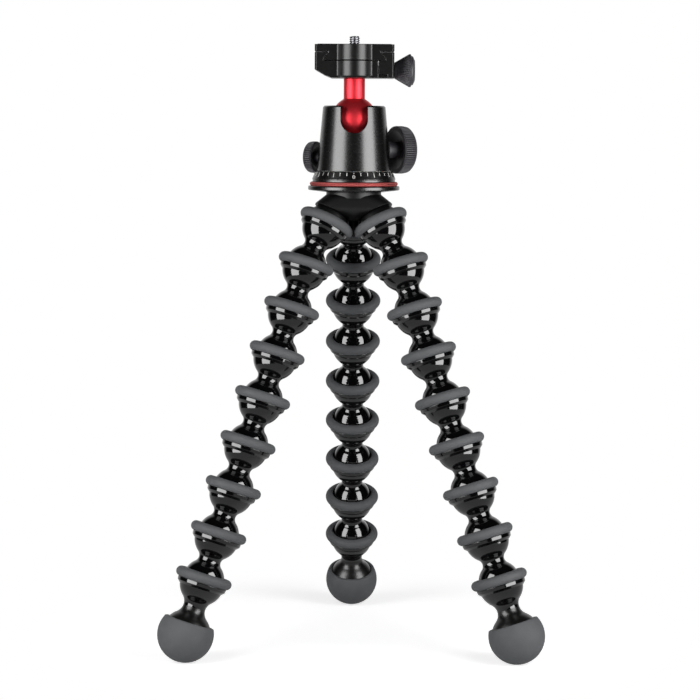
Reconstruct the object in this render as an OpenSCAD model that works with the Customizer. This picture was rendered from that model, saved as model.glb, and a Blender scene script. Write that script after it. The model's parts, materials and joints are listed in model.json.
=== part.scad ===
// Flexible leg tripod with a ball head and a quick-release clamp.
// Three legs of nine ball-and-socket links each stand on round rubber feet.
// Millimetres, +Z up, floor at z = 0, front towards -Y.

/* [Leg links] */
// Distance from one leg ball centre to the next
link_pitch = 28.8; // [28:0.1:31]
// Radius of each leg ball
link_ball_r = 12.6; // [12:0.1:12.8]
// Gap between a leg ball and its socket
socket_gap = 0.1; // [0.05:0.05:0.2]
// Radius of the bowl that forms the outside of a socket
bowl_r = 13.5; // [13.2:0.1:14]
// Depth of the bowl's centre below the ball centre
bowl_drop = 2.8; // [2.5:0.1:3.6]
// Radius of the neck under a bowl
neck_r = 6.9; // [5.5:0.1:7.2]
// Height of the socket lip above the ball centre
lip_h = 2.2; // [1.5:0.1:2.3]
// Radius of the socket lip that carries the grip ring
lip_r = 14.4; // [14:0.1:15]
// Radius of the upper collar band, just below the grip ring
upper_band_r = 15.3; // [14.8:0.1:16]
// Depth of the upper band's lower edge below the ball centre
upper_band_drop = 4.7; // [4.2:0.1:5.2]
// Radius of the lower collar band
lower_band_r = 14; // [13.7:0.1:14.4]
// Depth of the lower band's lower edge below the ball centre
lower_band_drop = 5.9; // [5.6:0.1:7]
// Bevel on the lower edge of each band
band_bevel = 0.5; // [0.2:0.1:0.7]

/* [Grip rings and feet] */
// Outer radius of a rubber grip ring
ring_outer_r = 17.5; // [17.2:0.1:17.8]
// Height of a rubber grip ring
ring_h = 6.2; // [5.6:0.1:6.6]
// Height of a grip ring's centre above the ball centre
ring_rise = 0.9; // [0.5:0.1:1.1]
// Gap between a grip ring and the ball that it surrounds
ring_clear = 0.6; // [0.4:0.05:0.8]
// Outer radius of a rubber foot
foot_r = 17.2; // [16.5:0.1:20]
// Wall of the rubber foot
foot_wall = 2; // [1.2:0.1:3]
// Distance from the last ball centre to the foot centre
foot_reach = 34.8; // [33:0.1:40]
// Height of the rubber foot's rim above the foot centre
foot_rim_h = 7.9; // [4:0.1:10]
// Gap at a seat between two pieces that don't move
seat_gap = 0.05; // [0.03:0.01:0.1]

/* [Leg stance] */
// Tilt of links 2 to 9 from the vertical
leg_tilt = 20.3; // [16:0.05:26]
// Tilt of the first link from the vertical
root_tilt = 29.5; // [28:0.5:33]
// Distance of the first ball centre from the tripod's axis
root_r = 19.6; // [19.4:0.1:21.5]

/* [Leg hub] */
// Height of the hub's top face above the first ball centres
hub_rise = 19.3; // [18.6:0.1:24]
// Radius of the hub's round boss, which the platform disc sits on
hub_top_r = 17; // [16:0.1:20]
// Height of the hub's round boss
hub_boss_h = 3.4; // [2:0.1:4.5]
// Step from the hub's boss in to the yoke below it
yoke_inset = 2; // [1:0.1:3]
// Radius of the end of each hub arm
lobe_r = 13.2; // [12.4:0.1:14]
// Height of the end of each hub arm above its ball centre
lobe_rise = 8.3; // [8:0.1:9]
// Thickness of the edge of each hub arm
lobe_edge_h = 0.8; // [0.4:0.1:1.5]
// Depth of the keel's tip below the first ball centres
keel_drop = 8; // [4:0.1:9]
// Radius of the keel's tip
keel_tip_r = 1.4; // [0.8:0.1:1.6]
// Height of the keel's root above the first ball centres
keel_rise = 3.8; // [3:0.1:5]
// Radius of the keel where it leaves the hub
keel_root_r = 4.4; // [3.5:0.1:5]

/* [Head base] */
// Radius of the head stud
stud_r = 4.76; // [4:0.01:5.5]
// Depth of the head stud in the hub
stud_depth = 10; // [6:0.5:13]
// Length of the head stud in the pan base
stud_reach = 7.5; // [5:0.5:8.2]
// Radius of the platform disc
disc_r = 28.3; // [26:0.1:32]
// Height of the platform disc
disc_h = 4; // [3.4:0.1:6]
// Radius of the rounded edge of the platform disc
disc_edge_r = 1.3; // [0.8:0.1:1.6]
// Radius of the red accent ring
accent_r = 27.2; // [26.2:0.1:28]
// Height of the red accent ring
accent_h = 2.5; // [1.5:0.1:4]
// Inner radius of the red accent ring
accent_bore_r = 18; // [14:0.1:20]
// Lower radius of the scale on the pan base
scale_low_r = 25.9; // [24.6:0.1:27]
// Upper radius of the scale on the pan base
scale_top_r = 23.9; // [23.2:0.1:25]
// Height of the pan base above the accent ring
pan_base_h = 6.4; // [5.5:0.1:9]
// Height of the groove under the scale
scale_groove_h = 1.5; // [0.8:0.1:2]
// Depth of the groove under the scale
scale_groove = 0.9; // [0.4:0.1:1.4]
// Radius of the post that the housing turns on
post_r = 8; // [6.5:0.1:9]
// Height of the post above the pan base
post_h = 11.6; // [10.5:0.1:12.5]
// Radius of the slip washer
washer_r = 20; // [14:0.5:22]
// Thickness of the slip washer
washer_h = 0.4; // [0.3:0.05:0.8]
// Radius of the post's retaining plate
retainer_r = 10.5; // [9.5:0.1:10.8]
// Thickness of the post's retaining plate
retainer_h = 1.5; // [1:0.1:1.8]
// Radius of the retaining screw
retainer_screw_r = 2.1; // [1.5:0.1:2.6]
// Length of the retaining screw in the post
retainer_screw_len = 7.5; // [5:0.1:8]
// Radius of the retaining screw's head
retainer_head_r = 4.2; // [3.5:0.1:6]
// Height of the retaining screw's head
retainer_head_h = 2.4; // [1.5:0.1:2.6]

/* [Ball housing] */
// Bottom radius of the ball housing
housing_low_r = 22.9; // [22.2:0.1:25]
// Top radius of the ball housing
housing_top_r = 19.3; // [18:0.1:21]
// Height of the ball housing
housing_h = 39.9; // [39:0.1:41]
// Bevel on the top edge of the ball housing
housing_bevel = 0.9; // [0.4:0.1:1.6]
// Height of the ball centre above the housing's bottom
ball_rise = 31.4; // [31:0.1:32]
// Radius of the head ball
head_ball_r = 14.2; // [13.8:0.1:14.4]
// Gap between the head ball and its seats
ball_gap = 0.12; // [0.05:0.01:0.3]
// Radius of the housing's bore below the ball centre
cavity_r = 15.4; // [15:0.1:16]
// Thickness of the housing's floor
housing_floor = 10.9; // [10:0.1:11]
// Half width of the front notch
notch_r = 8.3; // [7.4:0.1:9]
// Running gap of parts that turn on or slide in each other
run_gap = 0.1; // [0.05:0.01:0.2]
// Height of the lower ball cup
cup_h = 6.4; // [5:0.1:6.8]
// Height of the lower ball cup's foot above the housing's floor
cup_rise = 5.3; // [5.2:0.1:5.6]
// Least inner radius of the lower ball cup
cup_bore_r = 8; // [6:0.1:9]

/* [Stem] */
// Radius of the stem
stem_r = 6.55; // [5.6:0.05:7]
// Height of the stem's top above the ball centre
stem_rise = 25.2; // [23:0.1:30]

/* [Lock knobs] */
// Radius of the ball lock knob
ball_knob_r = 14.8; // [12:0.1:17]
// Width of the ball lock knob's rim
ball_knob_w = 9; // [7:0.1:12]
// Distance of the ball lock knob's rim from the tripod's axis
ball_knob_out = 28.7; // [27.5:0.1:33]
// Height of the ball lock knob's axis above the housing's bottom
ball_knob_rise = 12.8; // [12.6:0.1:13]
// Radius of the ball lock screw
ball_screw_r = 3; // [2.5:0.1:3.2]
// Distance of the ball lock screw's tip from the tripod's axis
ball_screw_tip = 11.5; // [11.2:0.1:13]
// Radius of the pan lock knob
pan_knob_r = 9.8; // [8:0.1:12]
// Width of the pan lock knob's rim
pan_knob_w = 6; // [5:0.1:9]
// Distance of the pan lock knob's rim from the tripod's axis
pan_knob_out = 25.5; // [25:0.1:30]
// Height of the pan lock knob's axis above the housing's bottom
pan_knob_rise = 8; // [7:0.1:8.4]
// Radius of the pan lock screw
pan_screw_r = 2; // [1.5:0.1:2.4]
// Turn of the ball lock knob from +X towards the rear
ball_knob_turn = 28.5; // [15:0.5:50]
// Turn of the pan lock knob from -X towards the rear
pan_knob_turn = 28; // [15:0.5:50]
// Bevel on the rims of the lock knobs
knob_bevel = 0.8; // [0.4:0.1:1.4]
// Depth of the dish in the inner face of the lock knobs
knob_dish = 3; // [1.5:0.1:4]

/* [Clamp] */
// Half width of the clamp across its jaws
clamp_half_w = 24.3; // [23.6:0.1:28]
// Half length of the clamp along its channel
clamp_half_len = 15.5; // [13:0.1:20]
// Height of the channel's floor above the clamp's bottom
channel_rise = 10.4; // [10:0.1:13]
// Height of the jaws above the channel's floor
jaw_h = 5.1; // [4.9:0.1:6.5]
// Radius of the round noses at both ends of clamp and plate
nose_r = 10.8; // [9:0.1:12.5]
// Distance of the noses' centres from the stem's axis
nose_y = 11.5; // [8:0.1:14]
// Place of the split between the clamp's body and its moving jaw
jaw_split = 14.4; // [13.6:0.1:15]
// Gap between the clamp's body and its moving jaw
jaw_gap = 0.4; // [0.2:0.1:0.8]
// Thickness of the rail under the moving jaw
rail_h = 2; // [1.4:0.1:2.1]
// Reach of the rail from the stem's axis
rail_reach = 20; // [17:0.1:22]
// Height of the clamp screw's axis above the clamp's bottom
clamp_screw_rise = 4.9; // [4.9:0.1:5.4]
// Radius of the clamp screw
clamp_screw_r = 2.4; // [2:0.1:2.5]
// Inner end of the clamp screw, from the stem's axis
clamp_screw_in = 4.2; // [3.8:0.1:6]
// Greatest radius of the clamp knob
clamp_knob_r = 10.1; // [8.5:0.1:12]
// Radius of the clamp knob's small end
clamp_knob_neck_r = 5; // [4:0.1:6.5]
// Length of the clamp knob
clamp_knob_len = 12.6; // [11:0.1:16]
// Height of the guide pins above the clamp's bottom
guide_rise = 6.2; // [5.6:0.1:7]
// Radius of the guide pins
guide_r = 1.5; // [1:0.1:1.8]
// Distance of the guide pins from the clamp screw
guide_y = 10; // [7:0.1:12]
// Radius of the clamp bolt
clamp_bolt_r = 2.5; // [2:0.1:2.6]
// Radius of the clamp bolt's head
clamp_bolt_head_r = 4.4; // [3.8:0.1:6]
// Height of the clamp bolt's head
clamp_bolt_head_h = 2.4; // [1.5:0.1:2.5]
// Length of the clamp bolt in the stem
clamp_bolt_len = 9; // [6:0.1:12]

/* [Quick-release plate] */
// Half width of the plate's dovetail at its wide bottom
dovetail_half_w = 19; // [18:0.1:19.5]
// Half width of the plate's dovetail at its neck
dovetail_neck = 15.8; // [15.3:0.1:17]
// Upright land at the bottom of the dovetail
dovetail_land = 0.8; // [0.4:0.1:1.2]
// Gap between the dovetail and the jaws
flank_gap = 0.2; // [0.1:0.05:0.3]
// Gap between the plate and the channel's floor
plate_gap = 0.5; // [0.3:0.05:0.8]
// Gap between the jaws and the plate's flange
flange_gap = 0.8; // [0.4:0.1:1.2]
// Thickness of the plate's flange
flange_h = 4.1; // [3:0.1:6]
// Bevel on the upright corners of plate and jaws
corner_bevel = 1; // [0.4:0.1:2]
// Thickness of the rubber pad on the plate
pad_h = 1.1; // [0.6:0.1:1.6]
// Height of the rubber pad above the plate
pad_proud = 0.3; // [0.1:0.1:0.5]
// Margin of the plate around the rubber pad
pad_margin = 1.8; // [1:0.1:4]
// Radius of the camera screw
camera_screw_r = 3.175; // [2.5:0.005:4.8]
// Height of the camera screw above the pad
camera_screw_h = 5.1; // [4:0.1:7]
// Radius of the camera screw's undercut
undercut_r = 2.5; // [2:0.1:2.9]
// Radius of the camera screw's head
camera_head_r = 7.5; // [6:0.1:9]
// Height of the camera screw's head
camera_head_h = 2.6; // [2:0.1:3]
// Width of the coin slot in the camera screw's head
coin_slot_w = 1.6; // [1:0.1:2]

/* [Hidden] */
$fn = 96;
link_count = 9;
left_azimuth = 210;
right_azimuth = -30;
rear_azimuth = 90;
azimuths = [left_azimuth, right_azimuth, rear_azimuth];

// The ball centres of a leg, as [distance from the axis, height]
lower_links = link_count - 2;
root_z = foot_r + (lower_links * link_pitch + foot_reach) * cos(leg_tilt) + link_pitch * cos(root_tilt);
knee_r = root_r + link_pitch * sin(root_tilt);
knee_z = root_z - link_pitch * cos(root_tilt);
function ball_out(k) = k == 1 ? root_r : knee_r + (k - 2) * link_pitch * sin(leg_tilt);
function ball_up(k) = k == 1 ? root_z : knee_z - (k - 2) * link_pitch * cos(leg_tilt);
function link_tilt(k) = k == 1 ? root_tilt : leg_tilt;
foot_circle_r = ball_out(link_count) + foot_reach * sin(leg_tilt);

// The footprint's centre is the origin, so the tripod's axis lies forward of it
axis_y = -foot_circle_r / 4;

// Link sections
socket_r = link_ball_r + socket_gap;
foot_core_r = foot_r - foot_wall;
ring_tube_r = ring_h / 2;
ring_drop = ring_tube_r - ring_rise;

// Heights of the head, bottom to top
hub_z = root_z + hub_rise;
disc_z = hub_z + disc_h;
accent_z = disc_z + accent_h;
pan_z = accent_z + pan_base_h;
housing_z = pan_z + washer_h;
post_z = pan_z + post_h;
ball_z = housing_z + ball_rise;
stem_z = ball_z + stem_rise;
clamp_z = stem_z + run_gap;
channel_z = clamp_z + channel_rise;
jaw_z = channel_z + jaw_h;
plate_z = channel_z + plate_gap;
flange_z = jaw_z + flange_gap;
plate_top_z = flange_z + flange_h;
pad_top_z = plate_top_z + pad_proud;
clamp_screw_z = clamp_z + clamp_screw_rise;
jaw_foot_z = clamp_z + rail_h + run_gap * 3;

// Colours
gloss_black = [0.05, 0.05, 0.06];
satin_black = [0.10, 0.10, 0.11];
rubber_grey = [0.33, 0.34, 0.35];
knob_grey = [0.23, 0.22, 0.24];
anodised_red = [0.82, 0.10, 0.18];
steel = [0.62, 0.62, 0.64];
white_plastic = [0.88, 0.88, 0.85];

// Puts its children on the tripod's axis
module on_axis() {
    translate([0, axis_y, 0]) children();
}

// Puts its children at ball centre k of a leg, with -Z down the leg
module on_leg(azimuth, k) {
    on_axis()
        rotate([0, 0, azimuth])
            translate([ball_out(k), 0, ball_up(k)])
                rotate([0, -link_tilt(k), 0])
                    children();
}

// Radius of the waist fillet that touches two balls of a link, upper_r and
// lower_r with their centres span apart, and leaves a neck of neck_r
function waist_start(upper_r, lower_r, span) =
    (span * span + (upper_r - lower_r) * (upper_r + lower_r)) / (2 * span);
function waist_slope(upper_r, lower_r, span) = (upper_r - lower_r) / span;
function waist_b(upper_r, lower_r, span) =
    2 * (waist_start(upper_r, lower_r, span) * waist_slope(upper_r, lower_r, span) + neck_r - upper_r);
function waist_c(upper_r, lower_r, span) =
    pow(waist_start(upper_r, lower_r, span), 2) + neck_r * neck_r - upper_r * upper_r;
function waist_r(upper_r, lower_r, span) =
    let (a = pow(waist_slope(upper_r, lower_r, span), 2))
    let (b = waist_b(upper_r, lower_r, span))
    let (c = waist_c(upper_r, lower_r, span))
    2 * c / (sqrt(b * b - 4 * a * c) - b);

// Half section of a link's neck: it meets the bowl and the lower ball in one smooth waist
module neck_section(end_drop, end_r) {
    span = end_drop - bowl_drop;
    fillet = waist_r(bowl_r, end_r, span);
    out = neck_r + fillet;
    down = waist_start(bowl_r, end_r, span) + waist_slope(bowl_r, end_r, span) * fillet;
    upper_share = bowl_r / (bowl_r + fillet);
    lower_share = end_r / (end_r + fillet);
    upper_touch = [out * upper_share, -bowl_drop - down * upper_share];
    lower_touch = [out * lower_share, -end_drop + (span - down) * lower_share];
    difference() {
        polygon([
            [0, upper_touch[1]],
            upper_touch,
            [out, -bowl_drop - down],
            lower_touch,
            [0, lower_touch[1]]
        ]);
        translate([out, -bowl_drop - down]) circle(r = fillet);
    }
}

// Half section of a collar band from its top to its bevelled lower edge
module band_section(r, top_drop, low_drop) {
    polygon([
        [0, -top_drop],
        [r, -top_drop],
        [r, -low_drop + band_bevel],
        [r - band_bevel, -low_drop],
        [0, -low_drop]
    ]);
}

// Half section of a link, from its socket at the top to the ball or foot core at its end
module link_section(end_drop, end_r) {
    depth = end_drop + end_r - upper_band_drop;
    difference() {
        union() {
            intersection() {
                translate([0, -upper_band_drop - depth]) square([end_r + bowl_r, depth]);
                union() {
                    translate([0, -bowl_drop]) circle(r = bowl_r);
                    translate([0, -end_drop]) circle(r = end_r);
                    neck_section(end_drop, end_r);
                }
            }
            translate([0, -upper_band_drop]) square([lip_r, upper_band_drop + lip_h]);
            band_section(upper_band_r, ring_drop + seat_gap, upper_band_drop);
            band_section(lower_band_r, upper_band_drop - band_bevel, lower_band_drop);
        }
        circle(r = socket_r);
    }
}

// Half section of a grip ring that folds over the socket's lip
module ring_section() {
    difference() {
        translate([ring_outer_r - ring_tube_r, ring_rise]) circle(r = ring_tube_r);
        translate([0, -ring_h]) square([lip_r + seat_gap, ring_h + lip_h + seat_gap]);
        circle(r = link_ball_r + ring_clear);
    }
}

// One leg link with its grip ring; the last link ends in the foot's core
module leg_link(azimuth, k) {
    last = k == link_count;
    end_drop = last ? foot_reach : link_pitch;
    end_r = last ? foot_core_r : link_ball_r;
    on_leg(azimuth, k) {
        color(gloss_black) rotate_extrude() link_section(end_drop, end_r);
        color(rubber_grey) rotate_extrude() ring_section();
    }
}

// Rubber cap over the round end of the last link
module leg_foot(azimuth) {
    on_leg(azimuth, link_count)
        translate([0, 0, -foot_reach])
            color(rubber_grey)
                rotate_extrude()
                    difference() {
                        intersection() {
                            circle(r = foot_r);
                            translate([0, -foot_r]) square([foot_r, foot_r + foot_rim_h]);
                        }
                        circle(r = foot_core_r + seat_gap);
                    }
}

// Hub with three balls for the legs on the arms of a yoke, which hangs from a round boss
module leg_hub() {
    yoke_top_r = hub_top_r - yoke_inset;
    keel_step = 0.6;
    color(satin_black)
        difference() {
            union() {
                hull() {
                    on_axis() {
                        translate([0, 0, hub_z - lobe_edge_h])
                            cylinder(r = yoke_top_r, h = lobe_edge_h, $fn = 64);
                        translate([0, 0, root_z + keel_rise - keel_step])
                            cylinder(r = keel_root_r - keel_step, h = keel_step, $fn = 64);
                    }
                    for (azimuth = azimuths)
                        on_leg(azimuth, 1)
                            translate([0, 0, lobe_rise])
                                cylinder(r = lobe_r, h = lobe_edge_h, $fn = 64);
                }
                for (azimuth = azimuths)
                    on_leg(azimuth, 1) sphere(r = link_ball_r);
                on_axis() {
                    translate([0, 0, hub_z - hub_boss_h]) cylinder(r = hub_top_r, h = hub_boss_h);
                    translate([0, 0, root_z - keel_drop])
                        cylinder(r1 = keel_tip_r, r2 = keel_root_r, h = keel_drop + keel_rise);
                }
            }
            on_axis()
                translate([0, 0, hub_z - stud_depth])
                    cylinder(r = stud_r + seat_gap, h = stud_depth + 1);
        }
}

// Threaded stud that holds the head on the hub
module head_stud() {
    color(steel)
        on_axis()
            translate([0, 0, hub_z - stud_depth])
                cylinder(r = stud_r, h = stud_depth + disc_h + stud_reach);
}

// Platform disc with a rounded edge and a sloping underside
module platform_disc() {
    edge_out = disc_r - disc_edge_r;
    color(satin_black)
        on_axis()
            translate([0, 0, hub_z])
                rotate_extrude() {
                    polygon([
                        [stud_r + seat_gap, 0],
                        [hub_top_r + 0.2, 0],
                        [edge_out, disc_h - 2 * disc_edge_r],
                        [edge_out, disc_h],
                        [stud_r + seat_gap, disc_h]
                    ]);
                    translate([edge_out, disc_h - disc_edge_r]) circle(r = disc_edge_r);
                }
}

// Red ring between the platform disc and the pan base
module accent_ring() {
    edge_r = accent_h / 4;
    color(anodised_red)
        on_axis()
            translate([0, 0, disc_z])
                rotate_extrude() {
                    translate([accent_bore_r, 0]) square([accent_r - edge_r - accent_bore_r, accent_h]);
                    translate([accent_r - 2 * edge_r, edge_r]) square([2 * edge_r, accent_h - 2 * edge_r]);
                    for (up = [edge_r, accent_h - edge_r])
                        translate([accent_r - edge_r, up]) circle(r = edge_r);
                }
}

// Pan base with the sloping scale band, a spigot below and a post above
module pan_base() {
    spigot_r = accent_bore_r - seat_gap;
    groove_r = scale_low_r - scale_groove;
    color(satin_black)
        on_axis()
            difference() {
                translate([0, 0, disc_z])
                    rotate_extrude()
                        polygon([
                            [0, 0],
                            [spigot_r, 0],
                            [spigot_r, accent_h],
                            [groove_r, accent_h],
                            [groove_r, accent_h + scale_groove_h],
                            [scale_low_r, accent_h + scale_groove_h],
                            [scale_top_r, accent_h + pan_base_h],
                            [post_r, accent_h + pan_base_h],
                            [post_r, accent_h + pan_base_h + post_h],
                            [0, accent_h + pan_base_h + post_h]
                        ]);
                translate([0, 0, disc_z - 1]) cylinder(r = stud_r + seat_gap, h = stud_reach + 1.5);
                translate([0, 0, post_z - retainer_screw_len - 0.5])
                    cylinder(r = retainer_screw_r + seat_gap, h = retainer_screw_len + 1);
            }
}

// Slip washer under the turning housing
module slip_washer() {
    color(white_plastic)
        on_axis()
            translate([0, 0, pan_z])
                difference() {
                    cylinder(r = washer_r, h = washer_h);
                    translate([0, 0, -1]) cylinder(r = post_r + run_gap, h = washer_h + 2);
                }
}

// Plate that keeps the housing on the post
module post_retainer() {
    color(steel)
        on_axis()
            translate([0, 0, post_z])
                difference() {
                    cylinder(r = retainer_r, h = retainer_h);
                    translate([0, 0, -1]) cylinder(r = retainer_screw_r + seat_gap, h = retainer_h + 2);
                }
}

// Screw that holds the retaining plate on the post
module retainer_screw() {
    color(steel)
        on_axis()
            translate([0, 0, post_z - retainer_screw_len]) {
                cylinder(r = retainer_screw_r, h = retainer_screw_len + retainer_h);
                translate([0, 0, retainer_screw_len + retainer_h])
                    cylinder(r = retainer_head_r, h = retainer_head_h);
            }
}

// Puts its children on a lock knob's axis, with +Z outwards
module on_lock(turn, rise, out) {
    on_axis()
        translate([0, 0, housing_z + rise])
            rotate([0, 0, turn])
                translate([out, 0, 0])
                    rotate([0, 90, 0])
                        children();
}

// Tapered housing with a ball seat inside, a drop notch in front and two screw bores
module ball_housing() {
    color(satin_black)
        difference() {
            on_axis()
                translate([0, 0, housing_z])
                    rotate_extrude()
                        difference() {
                            polygon([
                                [0, 0],
                                [housing_low_r, 0],
                                [housing_top_r, housing_h - housing_bevel],
                                [housing_top_r - housing_bevel, housing_h],
                                [0, housing_h]
                            ]);
                            translate([0, -1]) square([post_r + run_gap, housing_floor + 2]);
                            translate([0, housing_floor]) square([cavity_r, ball_rise - housing_floor]);
                            translate([0, ball_rise]) circle(r = head_ball_r + ball_gap);
                        }
            on_axis()
                translate([0, 0, ball_z])
                    rotate([90, 0, 0])
                        linear_extrude(height = housing_low_r + 1) {
                            circle(r = notch_r);
                            translate([-notch_r, 0]) square([2 * notch_r, housing_h]);
                        }
            on_lock(ball_knob_turn, ball_knob_rise, ball_screw_tip - 0.5)
                cylinder(r = ball_screw_r + run_gap, h = housing_low_r);
            on_lock(180 - pan_knob_turn, pan_knob_rise, post_r / 2)
                cylinder(r = pan_screw_r + run_gap, h = housing_low_r);
        }
}

// Cup under the ball that the ball lock screw lifts
module ball_cup() {
    color(white_plastic)
        on_axis()
            translate([0, 0, housing_z + housing_floor + cup_rise])
                rotate_extrude()
                    difference() {
                        translate([cup_bore_r, 0]) square([cavity_r - run_gap - cup_bore_r, cup_h]);
                        translate([0, ball_rise - housing_floor - cup_rise])
                            circle(r = head_ball_r + ball_gap);
                    }
}

// A lock knob with its hub at the bottom, a dished inner face and a bevelled rim
module lock_knob(r, w, hub_r, hub_len, bore_r) {
    top = hub_len + w;
    color(knob_grey)
        rotate_extrude()
            polygon([
                [bore_r, 0],
                [hub_r, 0],
                [hub_r, hub_len + knob_dish],
                [r - 2 * knob_bevel - 1, hub_len],
                [r - knob_bevel, hub_len],
                [r, hub_len + knob_bevel],
                [r, top - knob_bevel],
                [r - knob_bevel, top],
                [0, top],
                [0, top - 2],
                [bore_r, top - 2]
            ]);
}

// Distance of the housing's skin from the axis at a height above its bottom
function housing_skin(rise) =
    housing_low_r + (housing_top_r - housing_low_r) * rise / (housing_h - housing_bevel);
ball_hub_out = housing_skin(ball_knob_rise - 2 * ball_screw_r) + 0.3;
pan_hub_out = housing_skin(pan_knob_rise - 2 * pan_screw_r) + 0.3;
lock_hub_r = 1.7;

// Knob that locks the ball
module ball_lock_knob() {
    on_lock(ball_knob_turn, ball_knob_rise, ball_hub_out)
        lock_knob(ball_knob_r, ball_knob_w, ball_screw_r * lock_hub_r, ball_knob_out - ball_hub_out,
            ball_screw_r + seat_gap);
}

// Screw of the ball lock, with a cone that lifts the cup
module ball_lock_screw() {
    cone = ball_screw_r;
    color(steel)
        on_lock(ball_knob_turn, ball_knob_rise, ball_screw_tip) {
            cylinder(r1 = ball_screw_r / 3, r2 = ball_screw_r, h = cone);
            translate([0, 0, cone])
                cylinder(r = ball_screw_r, h = ball_knob_out + ball_knob_w - 2 - seat_gap - ball_screw_tip - cone);
        }
}

// Knob that locks the pan
module pan_lock_knob() {
    on_lock(180 - pan_knob_turn, pan_knob_rise, pan_hub_out)
        lock_knob(pan_knob_r, pan_knob_w, pan_screw_r * lock_hub_r, pan_knob_out - pan_hub_out,
            pan_screw_r + seat_gap);
}

// Screw of the pan lock, which presses on the post
module pan_lock_screw() {
    tip = post_r + 2 * run_gap;
    color(steel)
        on_lock(180 - pan_knob_turn, pan_knob_rise, tip)
            cylinder(r = pan_screw_r, h = pan_knob_out + pan_knob_w - 2 - seat_gap - tip);
}

// Ball and stem, turned in one piece and drilled for the clamp bolt
module ball_stem() {
    color(anodised_red)
        on_axis()
            difference() {
                union() {
                    translate([0, 0, ball_z]) sphere(r = head_ball_r);
                    translate([0, 0, ball_z]) cylinder(r = stem_r, h = stem_rise);
                }
                translate([0, 0, stem_z - clamp_bolt_len - 1])
                    cylinder(r = clamp_bolt_r + run_gap, h = clamp_bolt_len + 2);
            }
}

// Plan of the clamp or plate between two x values, with bevelled outer corners
module side_plan(x_in, x_out) {
    side = sign(x_out);
    polygon([
        [x_in, -clamp_half_len],
        [x_out - side * corner_bevel, -clamp_half_len],
        [x_out, -clamp_half_len + corner_bevel],
        [x_out, clamp_half_len - corner_bevel],
        [x_out - side * corner_bevel, clamp_half_len],
        [x_in, clamp_half_len]
    ]);
}

// Front section of the dovetail channel, wider than the plate by the flank gap
module channel_section() {
    wide = dovetail_half_w + flank_gap;
    neck = dovetail_neck + flank_gap;
    land = plate_gap + dovetail_land + flank_gap;
    polygon([
        [-wide, 0],
        [wide, 0],
        [wide, land],
        [neck, jaw_h - flank_gap],
        [neck, jaw_h + 1],
        [-neck, jaw_h + 1],
        [-neck, jaw_h - flank_gap],
        [-wide, land]
    ]);
}

// Cuts the dovetail channel through its children
module with_channel() {
    difference() {
        children();
        translate([0, clamp_half_len + 1, channel_z])
            rotate([90, 0, 0])
                linear_extrude(height = 2 * clamp_half_len + 2)
                    channel_section();
    }
}

// Clamp body with the fixed jaw, the channel's floor, both noses and the jaw's rail
module clamp_body() {
    clamp_h = jaw_z - clamp_z;
    toe = channel_rise / 4;
    color(satin_black)
        on_axis()
            difference() {
                union() {
                    with_channel()
                        intersection() {
                            translate([0, 0, clamp_z])
                                linear_extrude(height = clamp_h)
                                    side_plan(jaw_split, -clamp_half_w);
                            translate([0, clamp_half_len + 1, clamp_z])
                                rotate([90, 0, 0])
                                    linear_extrude(height = 2 * clamp_half_len + 2)
                                        polygon([
                                            [-clamp_half_w, 2 * toe],
                                            [2 * toe - clamp_half_w + 1, toe - 1],
                                            [4 * toe - clamp_half_w, 0],
                                            [jaw_split, 0],
                                            [jaw_split, clamp_h],
                                            [-clamp_half_w, clamp_h]
                                        ]);
                        }
                    for (side = [-1, 1])
                        translate([0, side * nose_y, clamp_z]) {
                            cylinder(r1 = nose_r - toe / 2, r2 = nose_r, h = toe / 2);
                            translate([0, 0, toe / 2]) cylinder(r = nose_r, h = channel_rise - toe / 2);
                        }
                    translate([0, -clamp_half_len + 2 * corner_bevel, clamp_z])
                        cube([rail_reach, 2 * (clamp_half_len - 2 * corner_bevel), rail_h]);
                }
                translate([0, 0, clamp_z - 1]) cylinder(r = clamp_bolt_r + seat_gap, h = channel_rise + 2);
                translate([0, 0, channel_z - clamp_bolt_head_h - 0.3])
                    cylinder(r = clamp_bolt_head_r + seat_gap, h = clamp_bolt_head_h + 1);
                translate([clamp_screw_in - 0.5, 0, clamp_screw_z])
                    rotate([0, 90, 0])
                        cylinder(r = clamp_screw_r + run_gap, h = clamp_half_w);
                for (side = [-1, 1])
                    translate([jaw_split / 2, side * guide_y, clamp_z + guide_rise])
                        rotate([0, 90, 0])
                            cylinder(r = guide_r + seat_gap, h = clamp_half_w);
            }
}

// Bolt that holds the clamp on the stem
module clamp_bolt() {
    head_z = channel_z - clamp_bolt_head_h - 0.3 + seat_gap;
    color(steel)
        on_axis() {
            translate([0, 0, stem_z - clamp_bolt_len])
                cylinder(r = clamp_bolt_r, h = head_z - stem_z + clamp_bolt_len);
            translate([0, 0, head_z]) cylinder(r = clamp_bolt_head_r, h = clamp_bolt_head_h);
        }
}

// Two pins that guide the moving jaw
module guide_pins() {
    color(steel)
        on_axis()
            for (side = [-1, 1])
                translate([jaw_split / 2 + seat_gap, side * guide_y, clamp_z + guide_rise])
                    rotate([0, 90, 0])
                        cylinder(r = guide_r, h = clamp_half_w - jaw_split / 2 - 1);
}

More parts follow.
